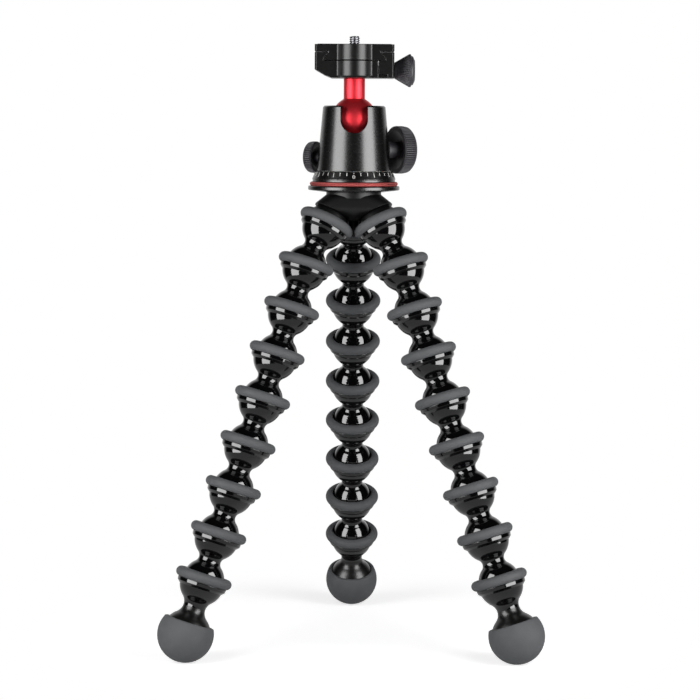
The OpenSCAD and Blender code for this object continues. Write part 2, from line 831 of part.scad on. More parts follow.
// Moving jaw on its guide pins, with a skirt beyond the rail's end
module clamp_jaw() {
    skirt_h = jaw_foot_z - clamp_z + 1;
    color(satin_black)
        on_axis()
            difference() {
                with_channel() {
                    translate([0, 0, jaw_foot_z])
                        linear_extrude(height = jaw_z - jaw_foot_z)
                            side_plan(jaw_split + jaw_gap, clamp_half_w);
                    translate([0, 0, clamp_z])
                        linear_extrude(height = skirt_h)
                            side_plan(rail_reach + jaw_gap, clamp_half_w);
                }
                translate([0, 0, clamp_screw_z])
                    rotate([0, 90, 0])
                        cylinder(r = clamp_screw_r + run_gap, h = clamp_half_w + 1);
                for (side = [-1, 1])
                    translate([0, side * guide_y, clamp_z + guide_rise])
                        rotate([0, 90, 0])
                            cylinder(r = guide_r + run_gap, h = clamp_half_w + 1);
            }
}

// Trumpet-shaped knob of the clamp screw
module clamp_knob() {
    rim = clamp_knob_len - 3;
    color(knob_grey)
        on_axis()
            translate([clamp_half_w + 0.3, 0, clamp_screw_z])
                rotate([0, 90, 0])
                    difference() {
                        rotate_extrude()
                            polygon([
                                [0, 0],
                                [clamp_knob_neck_r, 0],
                                [clamp_knob_neck_r + 0.6, 1.2],
                                [clamp_knob_r - 1.4, rim - 3],
                                [clamp_knob_r, rim - 0.6],
                                [clamp_knob_r, rim + 0.4],
                                [clamp_knob_r - 1, rim + 0.8],
                                [clamp_knob_r - 1.4, rim + 1.8],
                                [clamp_knob_r - 4, rim + 3],
                                [0, rim + 3]
                            ]);
                        translate([0, 0, -1]) cylinder(r = clamp_screw_r + seat_gap, h = rim + 1);
                    }
}

// Screw that draws the moving jaw in
module clamp_screw() {
    rim = clamp_knob_len - 3;
    color(steel)
        on_axis()
            translate([clamp_screw_in, 0, clamp_screw_z])
                rotate([0, 90, 0])
                    cylinder(r = clamp_screw_r, h = clamp_half_w + 0.3 + rim - seat_gap - clamp_screw_in);
}

// Quick-release plate with a dovetail below and a round nose at each end
module release_plate() {
    drop = flange_z - plate_z;
    color(satin_black)
        on_axis()
            difference() {
                union() {
                    translate([0, 0, flange_z])
                        linear_extrude(height = flange_h) {
                            side_plan(0, clamp_half_w);
                            side_plan(0, -clamp_half_w);
                        }
                    translate([0, clamp_half_len, plate_z])
                        rotate([90, 0, 0])
                            linear_extrude(height = 2 * clamp_half_len)
                                polygon([
                                    [-dovetail_half_w, 0],
                                    [dovetail_half_w, 0],
                                    [dovetail_half_w, dovetail_land],
                                    [dovetail_neck, drop - flange_gap - flank_gap],
                                    [dovetail_neck, drop],
                                    [-dovetail_neck, drop],
                                    [-dovetail_neck, drop - flange_gap - flank_gap],
                                    [-dovetail_half_w, dovetail_land]
                                ]);
                    for (side = [-1, 1])
                        translate([0, side * nose_y, plate_z])
                            cylinder(r = nose_r, h = drop + flange_h);
                }
                translate([0, 0, plate_top_z + pad_proud - pad_h])
                    linear_extrude(height = pad_h) pad_plan(seat_gap);
                translate([0, 0, plate_z - 1]) cylinder(r = camera_screw_r + run_gap, h = plate_top_z);
                translate([0, 0, plate_z - 1])
                    cylinder(r = camera_head_r + run_gap, h = camera_head_h + 1.5 + run_gap);
            }
}

// Plan of the rubber pad, grown by a margin
module pad_plan(grow) {
    half_w = clamp_half_w - pad_margin + grow;
    half_len = clamp_half_len - pad_margin + grow;
    square([2 * half_w, 2 * half_len], center = true);
}

// Rubber pad let into the top of the plate
module plate_pad() {
    color(rubber_grey)
        on_axis()
            translate([0, 0, plate_top_z + pad_proud - pad_h])
                difference() {
                    linear_extrude(height = pad_h) pad_plan(0);
                    translate([0, 0, -1]) cylinder(r = camera_screw_r + 2 * run_gap, h = pad_h + 2);
                }
}

// Camera screw: exposed thread, an undercut inside the plate and a slotted head below
module camera_screw() {
    head_z = plate_z + 0.5;
    tip = 0.5;
    color(steel)
        on_axis()
            difference() {
                union() {
                    translate([0, 0, head_z]) cylinder(r = camera_head_r, h = camera_head_h);
                    translate([0, 0, head_z]) cylinder(r = undercut_r, h = pad_top_z - head_z);
                    translate([0, 0, pad_top_z]) cylinder(r = camera_screw_r, h = camera_screw_h - tip);
                    translate([0, 0, pad_top_z + camera_screw_h - tip])
                        cylinder(r1 = camera_screw_r, r2 = camera_screw_r - tip, h = tip);
                }
                translate([-camera_head_r - 1, -coin_slot_w / 2, head_z - 1])
                    cube([2 * camera_head_r + 2, coin_slot_w, camera_head_h / 2 + 1]);
            }
}

leg_hub();
head_stud();
platform_disc();
accent_ring();
pan_base();
slip_washer();
post_retainer();
retainer_screw();
ball_housing();
ball_cup();
ball_lock_knob();
ball_lock_screw();
pan_lock_knob();
pan_lock_screw();
ball_stem();
clamp_body();
clamp_bolt();
guide_pins();
clamp_jaw();
clamp_knob();
clamp_screw();
release_plate();
plate_pad();
camera_screw();
leg_link(left_azimuth, 1);  // left_link_1
leg_link(left_azimuth, 2);  // left_link_2
leg_link(left_azimuth, 3);  // left_link_3
leg_link(left_azimuth, 4);  // left_link_4
leg_link(left_azimuth, 5);  // left_link_5
leg_link(left_azimuth, 6);  // left_link_6
leg_link(left_azimuth, 7);  // left_link_7
leg_link(left_azimuth, 8);  // left_link_8
leg_link(left_azimuth, 9);  // left_link_9
leg_foot(left_azimuth);  // left_foot
leg_link(right_azimuth, 1);  // right_link_1
leg_link(right_azimuth, 2);  // right_link_2
leg_link(right_azimuth, 3);  // right_link_3
leg_link(right_azimuth, 4);  // right_link_4
leg_link(right_azimuth, 5);  // right_link_5
leg_link(right_azimuth, 6);  // right_link_6
leg_link(right_azimuth, 7);  // right_link_7
leg_link(right_azimuth, 8);  // right_link_8
leg_link(right_azimuth, 9);  // right_link_9
leg_foot(right_azimuth);  // right_foot
leg_link(rear_azimuth, 1);  // rear_link_1
leg_link(rear_azimuth, 2);  // rear_link_2
leg_link(rear_azimuth, 3);  // rear_link_3
leg_link(rear_azimuth, 4);  // rear_link_4
leg_link(rear_azimuth, 5);  // rear_link_5
leg_link(rear_azimuth, 6);  // rear_link_6
leg_link(rear_azimuth, 7);  // rear_link_7
leg_link(rear_azimuth, 8);  // rear_link_8
leg_link(rear_azimuth, 9);  // rear_link_9
leg_foot(rear_azimuth);  // rear_foot
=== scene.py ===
import json
import math

import bmesh
import bpy
import numpy as np
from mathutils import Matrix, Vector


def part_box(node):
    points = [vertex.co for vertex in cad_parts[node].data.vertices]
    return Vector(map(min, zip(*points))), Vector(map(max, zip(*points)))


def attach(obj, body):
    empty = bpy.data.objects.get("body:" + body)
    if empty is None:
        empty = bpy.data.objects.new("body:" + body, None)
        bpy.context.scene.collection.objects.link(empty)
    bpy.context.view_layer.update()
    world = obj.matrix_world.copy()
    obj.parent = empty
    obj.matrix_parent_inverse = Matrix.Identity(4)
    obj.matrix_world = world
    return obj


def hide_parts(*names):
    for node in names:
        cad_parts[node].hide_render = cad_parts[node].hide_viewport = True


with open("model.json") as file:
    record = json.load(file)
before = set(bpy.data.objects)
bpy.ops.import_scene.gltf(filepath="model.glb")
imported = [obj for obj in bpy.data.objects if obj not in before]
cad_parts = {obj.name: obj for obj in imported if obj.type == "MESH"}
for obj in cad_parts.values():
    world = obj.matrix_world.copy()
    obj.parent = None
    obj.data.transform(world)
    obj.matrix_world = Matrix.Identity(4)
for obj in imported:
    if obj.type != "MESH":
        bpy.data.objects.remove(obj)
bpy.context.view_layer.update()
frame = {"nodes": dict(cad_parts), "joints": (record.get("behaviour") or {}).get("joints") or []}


# Leg links: 27 ball-and-socket links, turned shapes of gloss black ABS from a polished mould.
# Each socket snaps over the ball of the link above; a collar band stands under its lip.
mm = 0.001


def linear(code):
    """An sRGB hex code as linear red, green, blue and alpha."""
    part = np.array([int(code[i:i + 2], 16) for i in (1, 3, 5)]) / 255
    low, high = part / 12.92, ((part + 0.055) / 1.055) ** 2.4
    return (*np.where(part <= 0.04045, low, high), 1.0)


def add_node(tree, kind, inputs, **settings):
    """Adds a node, sets its settings, and gives each input a value or a link."""
    node = tree.nodes.new(kind)
    for name, value in settings.items():
        setattr(node, name, value)
    for name, value in inputs.items():
        if isinstance(value, bpy.types.NodeSocket):
            tree.links.new(value, node.inputs[name])
        else:
            node.inputs[name].default_value = value
    return node


def start_finish(name, **constants):
    """A new material: its tree, its shader with the constant sockets set, and Object coordinates."""
    finish = bpy.data.materials.new(name)
    finish.use_nodes = True
    shader = finish.node_tree.nodes["Principled BSDF"]
    for socket, value in constants.items():
        shader.inputs[socket.replace("_", " ")].default_value = value
    place = add_node(finish.node_tree, "ShaderNodeTexCoord", {})
    return finish, finish.node_tree, shader, place.outputs["Object"]


def arc(centre, radius, start, stop, steps):
    """Points on a circle in the half section: centre + radius (cos a, sin a), with a running from start
    to stop in degrees."""
    a = np.radians(np.linspace(start, stop, steps + 1))
    return np.stack([centre[0] + radius * np.cos(a), centre[1] + radius * np.sin(a)], axis=1)


def rounded(corners, closed=False, steps=5, guard=0.3):
    """A half section through corners (radius, height, fillet): each filleted corner becomes an arc that
    touches both its sides. A guard point, that share of the fillet past each end of the arc, keeps the
    flats flat."""
    corners = np.asarray(corners, float)
    path = []
    for i, fillet in enumerate(corners[:, 2]):
        here = corners[i, :2]
        if fillet == 0 or (not closed and i in (0, len(corners) - 1)):
            path.append(here[None])
            continue
        back = corners[i - 1, :2] - here
        ahead = corners[(i + 1) % len(corners), :2] - here
        back, ahead = back / np.linalg.norm(back), ahead / np.linalg.norm(ahead)
        half = math.acos(np.clip(back @ ahead, -1, 1)) / 2
        reach, turn = fillet / math.tan(half), math.pi - 2 * half
        middle = here + (back + ahead) / np.linalg.norm(back + ahead) * fillet / math.sin(half)
        share = np.linspace(0, 1, steps + 1)[:, None]
        bend = (np.sin((1 - share) * turn) * (here + back * reach - middle)
                + np.sin(share * turn) * (here + ahead * reach - middle)) / math.sin(turn)
        past = reach + guard * fillet
        path += [(here + back * past)[None], middle + bend, (here + ahead * past)[None]]
    return np.concatenate(path)


def lathe(section, centre, axis, steps=96, relief=None):
    """Carries a half section (radius r, height h) round an axis: point(s, t) = centre + h(s) axis
    + (r(s) + relief(s, t)) (cos t side + sin t other). A section that starts on the axis closes in
    two poles, and any other closes on itself. The sign of its volume turns the faces outwards."""
    section, centre = np.asarray(section, float), np.asarray(centre, float)
    axis = np.asarray(axis, float) / np.linalg.norm(axis)
    side = np.cross(axis, [0.0, 1.0, 0.0] if abs(axis[1]) < 0.9 else [1.0, 0.0, 0.0])
    side = side / np.linalg.norm(side)
    turn = 2 * math.pi * np.arange(steps) / steps
    round_axis = np.cos(turn)[:, None] * side + np.sin(turn)[:, None] * np.cross(axis, side)
    poles = np.isclose(section[0, 0], 0)
    radius = section[:, 0, None] + np.zeros((1, steps))
    if relief is not None:
        radius = radius + relief(section[:, 0, None], section[:, 1, None], turn)
    points = centre + section[:, 1, None, None] * axis + radius[:, :, None] * round_axis
    rows = points[1:-1] if poles else points
    cell = np.arange(rows.shape[0] * steps).reshape(-1, steps)
    upper, lower = (cell[:-1], cell[1:]) if poles else (cell, np.roll(cell, -1, axis=0))
    quads = np.stack([upper, np.roll(upper, -1, 1), np.roll(lower, -1, 1), lower], axis=-1).reshape(-1, 4)
    points, fans = rows.reshape(-1, 3), np.zeros((0, 3), int)
    if poles:
        near, far = np.full(steps, len(points)), np.full(steps, len(points) + 1)
        fans = np.concatenate([np.stack([near, np.roll(cell[0], -1), cell[0]], axis=1),
                               np.stack([far, cell[-1], np.roll(cell[-1], -1)], axis=1)])
        points = np.concatenate([points, centre + section[[0, -1], 1, None] * axis])
    first, second, third = points[np.concatenate([quads[:, :3], quads[:, [0, 2, 3]], fans])].swapaxes(0, 1)
    if np.einsum("ij,ij->", first, np.cross(second, third)) < 0:
        quads, fans = quads[:, ::-1], fans[:, ::-1]
    return points, quads.tolist() + fans.tolist()


def add_piece(name, shape, finish, body):
    """Puts points and faces into a smooth mesh at the origin, riding on a body."""
    mesh = bpy.data.meshes.new(name)
    mesh.from_pydata(shape[0].tolist(), [], shape[1])
    mesh.shade_smooth()
    mesh.materials.append(finish)
    piece = bpy.data.objects.new(name, mesh)
    bpy.context.scene.collection.objects.link(piece)
    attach(piece, body)
    return piece


# Gloss ABS: piano black with a mirror skin. A polished mould still leaves waves some 7 mm long,
# which bend the edges of the reflections a little, and handling leaves faint dull patches.
gloss_abs, tree, shader, place = start_finish(
    "polished_mould_gloss_abs", IOR=1.54, Base_Color=linear("#070708"))
waves = add_node(tree, "ShaderNodeTexNoise", {"Vector": place, "Scale": 1 / (7 * mm), "Detail": 1.0})
handled = add_node(tree, "ShaderNodeTexNoise", {"Vector": place, "Scale": 1 / (4 * mm), "Detail": 4.0})
dull = add_node(tree, "ShaderNodeMapRange", {
    "Value": handled.outputs["Fac"], "From Min": 0.35, "From Max": 0.75, "To Min": 0.06, "To Max": 0.1})
ripple = add_node(tree, "ShaderNodeBump", {
    "Height": waves.outputs["Fac"], "Strength": 0.12, "Distance": 0.12 * mm})
tree.links.new(dull.outputs["Result"], shader.inputs["Roughness"])
tree.links.new(ripple.outputs["Normal"], shader.inputs["Normal"])

ball_r, socket_r, bowl_r, bowl_drop, neck_r = 12.6 * mm, 12.7 * mm, 13.5 * mm, 2.8 * mm, 6.9 * mm
wall_r, lip_h = 14.4 * mm, 2.2 * mm
band_r, band_top, band_low = 15.3 * mm, 2.25 * mm, 5.9 * mm
foot_reach, foot_core_r = 34.8 * mm, 15.2 * mm
link_steps, crease = 112, math.radians(40)


def link_section(end_drop, end_r):
    """Half section of a link in two parts, above and below its waist: socket, lip, collar band with a
    sloping lower edge, bowl, a waist arc that touches the bowl and the lower ball, and that ball. The
    waist's centre lies neck + fillet from the axis, bowl + fillet from the bowl's centre and ball + fillet
    from the ball's, which gives a quadratic equation for the fillet."""
    span = end_drop - bowl_drop
    begin = (span ** 2 + bowl_r ** 2 - end_r ** 2) / (2 * span)
    slope = (bowl_r - end_r) / span
    middle_term = 2 * (begin * slope + neck_r - bowl_r)
    free_term = begin ** 2 + neck_r ** 2 - bowl_r ** 2
    fillet = 2 * free_term / (math.sqrt(middle_term ** 2 - 4 * slope ** 2 * free_term) - middle_term)
    out, down = neck_r + fillet, begin + slope * fillet
    above = math.degrees(math.atan2(down, out))
    under = math.degrees(math.atan2(span - down, out))
    lip = math.degrees(math.asin(lip_h / socket_r))
    band_end = math.degrees(math.asin((band_low - bowl_drop) / bowl_r))
    bands = rounded([
        (wall_r, lip_h, 0), (wall_r, -band_top, 0), (band_r, -band_top, 0.2 * mm),
        (14.95 * mm, -4.3 * mm, 0.35 * mm), (13.45 * mm, -5.75 * mm, 0.1 * mm), (13.16 * mm, -band_low, 0)])
    waist = (out, -bowl_drop - down)
    upper = np.concatenate([
        arc((0, 0), socket_r, -90, lip, 14),
        bands,
        arc((0, -bowl_drop), bowl_r, -band_end - 1, -above, 16)[:-1],
        arc(waist, fillet, 180 - above, 180, 9)])
    lower = np.concatenate([
        arc(waist, fillet, 180, 180 + under, 9)[:-1],
        arc((0, -end_drop), end_r, under, -90, 26)])
    upper[0, 0] = lower[-1, 0] = 0
    return upper, lower


centres = {j["child"]: np.array(j["pos_m"]) for j in frame["joints"] if "pos_m" in j}
legs = ("left", "right", "rear")
link_count = 9
pitch = float(np.linalg.norm(centres["left_3"] - centres["left_2"]))
upper, lower = link_section(pitch, ball_r)
link_shape = np.concatenate([upper, lower[1:]])
last_upper, foot_stem = link_section(foot_reach, foot_core_r)
cut = [[0, foot_stem[0, 1]]]
last_shape = np.concatenate([last_upper, cut])
leg_up = {}
for leg in legs:
    for k in range(1, link_count + 1):
        body = f"{leg}_{k}"
        ahead = min(k, link_count - 1)
        leg_up[body] = (centres[f"{leg}_{ahead}"] - centres[f"{leg}_{ahead + 1}"]) / pitch
        section = last_shape if k == link_count else link_shape
        shape = lathe(section, centres[body], leg_up[body], link_steps)
        shell = add_piece(f"{leg}_link_shell_{k}", shape, gloss_abs, body)
        shell.data.set_sharp_from_angle(angle=crease)
        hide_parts(f"{leg}_link_{k}")


# Foot stems: the last link of each leg ends below its waist in a stem with a round end, which the foot
# is pressed over. It comes from a plain mould, not a polished one.
# Satin ABS: the same black, but the mould's texture, drawn 0.4 mm coarse, makes its highlights soft and dim.
satin_abs, tree, shader, place = start_finish(
    "plain_mould_satin_abs", Specular_IOR_Level=0.4, Base_Color=linear("#080807"))
pits = add_node(tree, "ShaderNodeTexNoise", {"Vector": place, "Scale": 1 / (0.4 * mm), "Detail": 3.0})
dull = add_node(tree, "ShaderNodeMapRange", {"Value": pits.outputs["Fac"], "To Min": 0.26, "To Max": 0.34})
skin = add_node(tree, "ShaderNodeBump", {
    "Height": pits.outputs["Fac"], "Strength": 0.1, "Distance": 0.03 * mm})
tree.links.new(dull.outputs["Result"], shader.inputs["Roughness"])
tree.links.new(skin.outputs["Normal"], shader.inputs["Normal"])

stem_shape = np.concatenate([cut, foot_stem])
for leg in legs:
    body = f"{leg}_{link_count}"
    shape = lathe(stem_shape, centres[body], leg_up[body], link_steps)
    stem = add_piece(f"{leg}_foot_stem", shape, satin_abs, body)
    stem.data.set_sharp_from_angle(angle=crease)
    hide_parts(f"{leg}_link_{link_count}")


# Grip rings: soft dark grey rubber rings, moulded over each socket's lip so that the leg
# grips what it is wrapped round. A round tube outside, folded over the lip inside.
# Matt rubber: grey, with a 0.5 mm grain, drawn that coarse to show, and a faint bloom.
matt_rubber, tree, shader, place = start_finish("matt_moulded_rubber", Specular_IOR_Level=0.2)
grain = add_node(tree, "ShaderNodeTexNoise", {"Vector": place, "Scale": 1 / (0.5 * mm), "Detail": 3.0})
bloom = add_node(tree, "ShaderNodeTexNoise", {"Vector": place, "Scale": 1 / (9 * mm), "Detail": 4.0})
tone = add_node(
    tree, "ShaderNodeMix", {"Factor": bloom.outputs["Fac"], "A": linear("#4b4d4f"), "B": linear("#595a5c")},
    data_type="RGBA")
dull = add_node(tree, "ShaderNodeMapRange", {"Value": grain.outputs["Fac"], "To Min": 0.6, "To Max": 0.8})
skin = add_node(tree, "ShaderNodeBump", {
    "Height": grain.outputs["Fac"], "Strength": 0.35, "Distance": 0.04 * mm})
tree.links.new(tone.outputs["Result"], shader.inputs["Base Color"])
tree.links.new(dull.outputs["Result"], shader.inputs["Roughness"])
tree.links.new(skin.outputs["Normal"], shader.inputs["Normal"])

tube_at, tube_r = (wall_r, 0.9 * mm), 3.1 * mm
fold_turn, hem_turn = 122, -88
bore_r, bore_low, bore_top = 14.45 * mm, -2.2 * mm, 2.25 * mm
ring_section = np.concatenate([
    rounded([(bore_r, bore_low, 0), (bore_r, bore_top, 0), (12.98 * mm, bore_top, 0.15 * mm),
             (12.86 * mm, 2.9 * mm, 0)]),
    arc(tube_at, tube_r, fold_turn, hem_turn, 28)])
for leg in legs:
    for k in range(1, link_count + 1):
        body = f"{leg}_{k}"
        shape = lathe(ring_section, centres[body], leg_up[body], link_steps)
        ring = add_piece(f"{leg}_grip_ring_{k}", shape, matt_rubber, body)
        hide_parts(f"{leg}_link_{k}")


# Feet: rubber caps pressed over the round ends of the last links, with a rounded rim.
# They are the same grey rubber as the grip rings.
foot_r, rim_h, rim_round = 17.2 * mm, 7.9 * mm, 0.9 * mm
cup_r, lip_round = 15.25 * mm, 0.4 * mm
rim_out = math.sqrt((foot_r - rim_round) ** 2 - (rim_h - rim_round) ** 2)
lip_out = math.sqrt((cup_r + lip_round) ** 2 - (rim_h - lip_round) ** 2)
rim_turn = math.degrees(math.atan2(rim_h - rim_round, rim_out))
lip_turn = math.degrees(math.atan2(rim_h - lip_round, lip_out))
foot_section = np.concatenate([
    arc((0, 0), foot_r, -90, rim_turn, 40)[:-1],
    arc((rim_out, rim_h - rim_round), rim_round, rim_turn, 90, 7),
    arc((lip_out, rim_h - lip_round), lip_round, 90, 180 + lip_turn, 7)[:-1],
    arc((0, 0), cup_r, lip_turn, -90, 24)])
foot_section[[0, -1], 0] = 0
for leg in legs:
    body = f"{leg}_{link_count}"
    shape = lathe(foot_section, centres[body] - foot_reach * leg_up[body], leg_up[body], 128)
    foot = add_piece(f"{leg}_foot_cap", shape, matt_rubber, body)
    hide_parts(f"{leg}_foot")


# Leg hub: the spider that the three legs hang from, one black glass-filled nylon moulding: three lobes
# under a round boss, a keel between them, and a ball under each lobe that a leg's first socket snaps over.
# Moulded nylon: near black and satin. Its spark-eroded skin, drawn with 0.4 mm pits so that they show,
# breaks up the light. The bevel node rounds the edges by 0.2 mm, as a mould does.
moulded_nylon, tree, shader, place = start_finish(
    "spark_eroded_moulded_nylon", Roughness=0.42, Specular_IOR_Level=0.28)
pits = add_node(tree, "ShaderNodeTexNoise", {"Vector": place, "Scale": 1 / (0.4 * mm), "Detail": 3.0})
tone = add_node(
    tree, "ShaderNodeMix", {"Factor": pits.outputs["Fac"], "A": linear("#050506"), "B": linear("#0a0a0b")},
    data_type="RGBA")
soft_edge = add_node(tree, "ShaderNodeBevel", {"Radius": 0.2 * mm}, samples=6)
skin = add_node(tree, "ShaderNodeBump", {
    "Height": pits.outputs["Fac"], "Strength": 0.25, "Distance": 0.03 * mm,
    "Normal": soft_edge.outputs["Normal"]})
tree.links.new(tone.outputs["Result"], shader.inputs["Base Color"])
tree.links.new(skin.outputs["Normal"], shader.inputs["Normal"])

axis_foot = np.array([0.0, (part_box("platform_disc")[0][1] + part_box("platform_disc")[1][1]) / 2, 0.0])
up = np.array([0.0, 0.0, 1.0])
hub_top, root_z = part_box("leg_hub")[1][2], centres["left_1"][2]
lobe_r, lobe_rise, lobe_edge = 11.4 * mm, 8.3 * mm, 0.8 * mm
yoke_r, boss_r, boss_h = 15.0 * mm, 17.0 * mm, 3.4 * mm
keel_r, keel_drop, keel_tip_r, keel_edge = 4.4 * mm, 8.0 * mm, 1.4 * mm, 0.6 * mm
keel_top = root_z + 3.8 * mm
keel_steps, hub_crease = 64, math.radians(25)


def plug(radius, low, high, low_r=None):
    """Half section of a plain round plug between two heights, tapered if its lower radius is given."""
    low_r = radius if low_r is None else low_r
    return [(0, low), (low_r, low), (radius, high), (0, high)]


def hull(clouds):
    """The convex hull of clouds of points, as points and faces."""
    skin = bpy.data.meshes.new("hull")
    skin.from_pydata(np.concatenate(clouds).tolist(), [], [])
    work = bmesh.new()
    work.from_mesh(skin)
    found = bmesh.ops.convex_hull(work, input=work.verts)
    unused = found["geom_interior"] + found["geom_unused"]
    spare = {part for part in unused if isinstance(part, bmesh.types.BMVert)}
    bmesh.ops.delete(work, geom=list(spare), context="VERTS")
    bmesh.ops.recalc_face_normals(work, faces=work.faces)
    work.to_mesh(skin)
    work.free()
    spots = np.zeros(len(skin.vertices) * 3)
    skin.vertices.foreach_get("co", spots)
    faces = [tuple(face.vertices) for face in skin.polygons]
    bpy.data.meshes.remove(skin)
    return spots.reshape(-1, 3), faces


lobe_section = plug(lobe_r, lobe_rise, lobe_rise + lobe_edge)
lobes = [lathe(lobe_section, centres[f"{leg}_1"], leg_up[f"{leg}_1"])[0] for leg in legs]
yoke_top = lathe(plug(yoke_r, hub_top - lobe_edge, hub_top), axis_foot, up)[0]
yoke_root = lathe(plug(keel_r - keel_edge, keel_top - keel_edge, keel_top), axis_foot, up, keel_steps)[0]
hub_parts = {
    "yoke": hull([*lobes, yoke_top, yoke_root]),
    "boss": lathe(plug(boss_r, hub_top - boss_h, hub_top), axis_foot, up, 128),
    "keel": lathe(plug(keel_r, root_z - keel_drop, keel_top, keel_tip_r), axis_foot, up, keel_steps)}
ball_section = arc((0, 0), ball_r, -90, 90, 40)
ball_section[[0, -1], 0] = 0
for leg in legs:
    hub_parts[f"{leg}_ball"] = lathe(ball_section, centres[f"{leg}_1"], leg_up[f"{leg}_1"])
for name, shape in hub_parts.items():
    part = add_piece(f"leg_hub_{name}", shape, moulded_nylon, "stand")
    part.data.set_sharp_from_angle(angle=hub_crease)
    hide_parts("leg_hub")


# Stud, screws, pins and retaining plate inside the head and the clamp: turned and threaded steel, zinc
# plated; they screw or press into the pieces round them.
# Zinc-plated steel: grey and half dull. The plating's grain, drawn 0.3 mm coarse to show, mottles it.
plated_steel, tree, shader, place = start_finish("turned_zinc_plated_steel", Metallic=1.0)
turned = add_node(tree, "ShaderNodeTexNoise", {"Vector": place, "Scale": 1 / (0.3 * mm), "Detail": 2.0})
tone = add_node(
    tree, "ShaderNodeMix", {"Factor": turned.outputs["Fac"], "A": linear("#7d7d82"), "B": linear("#97979b")},
    data_type="RGBA")
dull = add_node(tree, "ShaderNodeMapRange", {"Value": turned.outputs["Fac"], "To Min": 0.3, "To Max": 0.42})
tree.links.new(tone.outputs["Result"], shader.inputs["Base Color"])
tree.links.new(dull.outputs["Result"], shader.inputs["Roughness"])


def dress(node, finish):
    """Gives a CAD node one material in all its slots."""
    mesh = frame["nodes"][node].data
    mesh.materials.clear()
    mesh.materials.append(finish)


for node in ("head_stud", "post_retainer", "retainer_screw", "ball_lock_screw", "pan_lock_screw",
             "clamp_bolt", "guide_pins", "clamp_screw"):
    dress(node, plated_steel)


# Slip washer and ball cup: machined from natural acetal. The washer lies under the housing, and the
# cup under the ball, where the lock screw lifts it.
# Natural acetal: ivory white and slightly waxy, because a little light goes into it.
acetal, tree, shader, place = start_finish(
    "machined_natural_acetal", IOR=1.48, Subsurface_Weight=0.1, Subsurface_Scale=2 * mm)
cloud = add_node(tree, "ShaderNodeTexNoise", {"Vector": place, "Scale": 1 / (3 * mm), "Detail": 3.0})
tone = add_node(
    tree, "ShaderNodeMix", {"Factor": cloud.outputs["Fac"], "A": linear("#dedcd2"), "B": linear("#efeee6")},
    data_type="RGBA")
dull = add_node(tree, "ShaderNodeMapRange", {"Value": cloud.outputs["Fac"], "To Min": 0.35, "To Max": 0.5})
tree.links.new(tone.outputs["Result"], shader.inputs["Base Color"])
tree.links.new(dull.outputs["Result"], shader.inputs["Roughness"])
for node in ("slip_washer", "ball_cup"):
    dress(node, acetal)


# Platform disc: a turned aluminium disc, anodised black, with a rounded edge and a sloping
# underside, clamped between the hub and the pan base by the head stud.
# Black anodised aluminium: the dyed oxide is near black and satin. A turned part keeps fine rings
# 0.35 mm apart, drawn that coarse to show; they spread the light along the part.
ring_pitch = 0.35 * mm
wave_span = 0.314  # a Wave texture of scale 1 repeats after 0.314 m
black_anodised, tree, shader, place = start_finish("turned_black_anodised_aluminium", Specular_IOR_Level=0.56)
rings = add_node(
    tree, "ShaderNodeTexWave",
    {"Vector": place, "Scale": wave_span / ring_pitch, "Distortion": 1.5, "Detail": 2.0}, bands_direction="Z")
blotch = add_node(tree, "ShaderNodeTexNoise", {"Vector": place, "Scale": 1 / (2 * mm), "Detail": 4.0})
tone = add_node(
    tree, "ShaderNodeMix", {"Factor": blotch.outputs["Fac"], "A": linear("#020202"), "B": linear("#060605")},
    data_type="RGBA")
dull = add_node(tree, "ShaderNodeMapRange", {"Value": blotch.outputs["Fac"], "To Min": 0.23, "To Max": 0.3})
soft_edge = add_node(tree, "ShaderNodeBevel", {"Radius": 0.35 * mm}, samples=6)
skin = add_node(tree, "ShaderNodeBump", {
    "Height": rings.outputs["Fac"], "Strength": 0.06, "Distance": 0.02 * mm,
    "Normal": soft_edge.outputs["Normal"]})
tree.links.new(tone.outputs["Result"], shader.inputs["Base Color"])
tree.links.new(dull.outputs["Result"], shader.inputs["Roughness"])
tree.links.new(skin.outputs["Normal"], shader.inputs["Normal"])

disc_z, turned_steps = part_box("platform_disc")[0][2], 160
disc_r, disc_h, disc_root_r = 28.3 * mm, 4.0 * mm, 17.2 * mm
disc_section = rounded([
    (0, 0, 0), (disc_root_r, 0, 0.3 * mm), (disc_r, 1.4 * mm, 0.7 * mm), (disc_r, disc_h, 0.8 * mm),
    (0, disc_h, 0)], steps=8)
shape = lathe(disc_section, axis_foot + disc_z * up, up, turned_steps)
disc = add_piece("platform_disc_turned", shape, black_anodised, "stand")
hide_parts("platform_disc")


# Accent ring: a red anodised aluminium ring, turned with rounded edges, let in between the
# disc and the pan base.
# Blasted red anodised aluminium: fine blasting under the dye makes it a pale, even, silky red. Its grit
# is drawn 0.5 mm coarse to show.
blasted_red, tree, shader, place = start_finish("blasted_red_anodised_aluminium", Metallic=0.6)
grit = add_node(tree, "ShaderNodeTexNoise", {"Vector": place, "Scale": 1 / (0.5 * mm), "Detail": 3.0})
tone = add_node(
    tree, "ShaderNodeMix", {"Factor": grit.outputs["Fac"], "A": linear("#a04441"), "B": linear("#ae504d")},
    data_type="RGBA")
dull = add_node(tree, "ShaderNodeMapRange", {"Value": grit.outputs["Fac"], "To Min": 0.54, "To Max": 0.62})
tree.links.new(tone.outputs["Result"], shader.inputs["Base Color"])
tree.links.new(dull.outputs["Result"], shader.inputs["Roughness"])

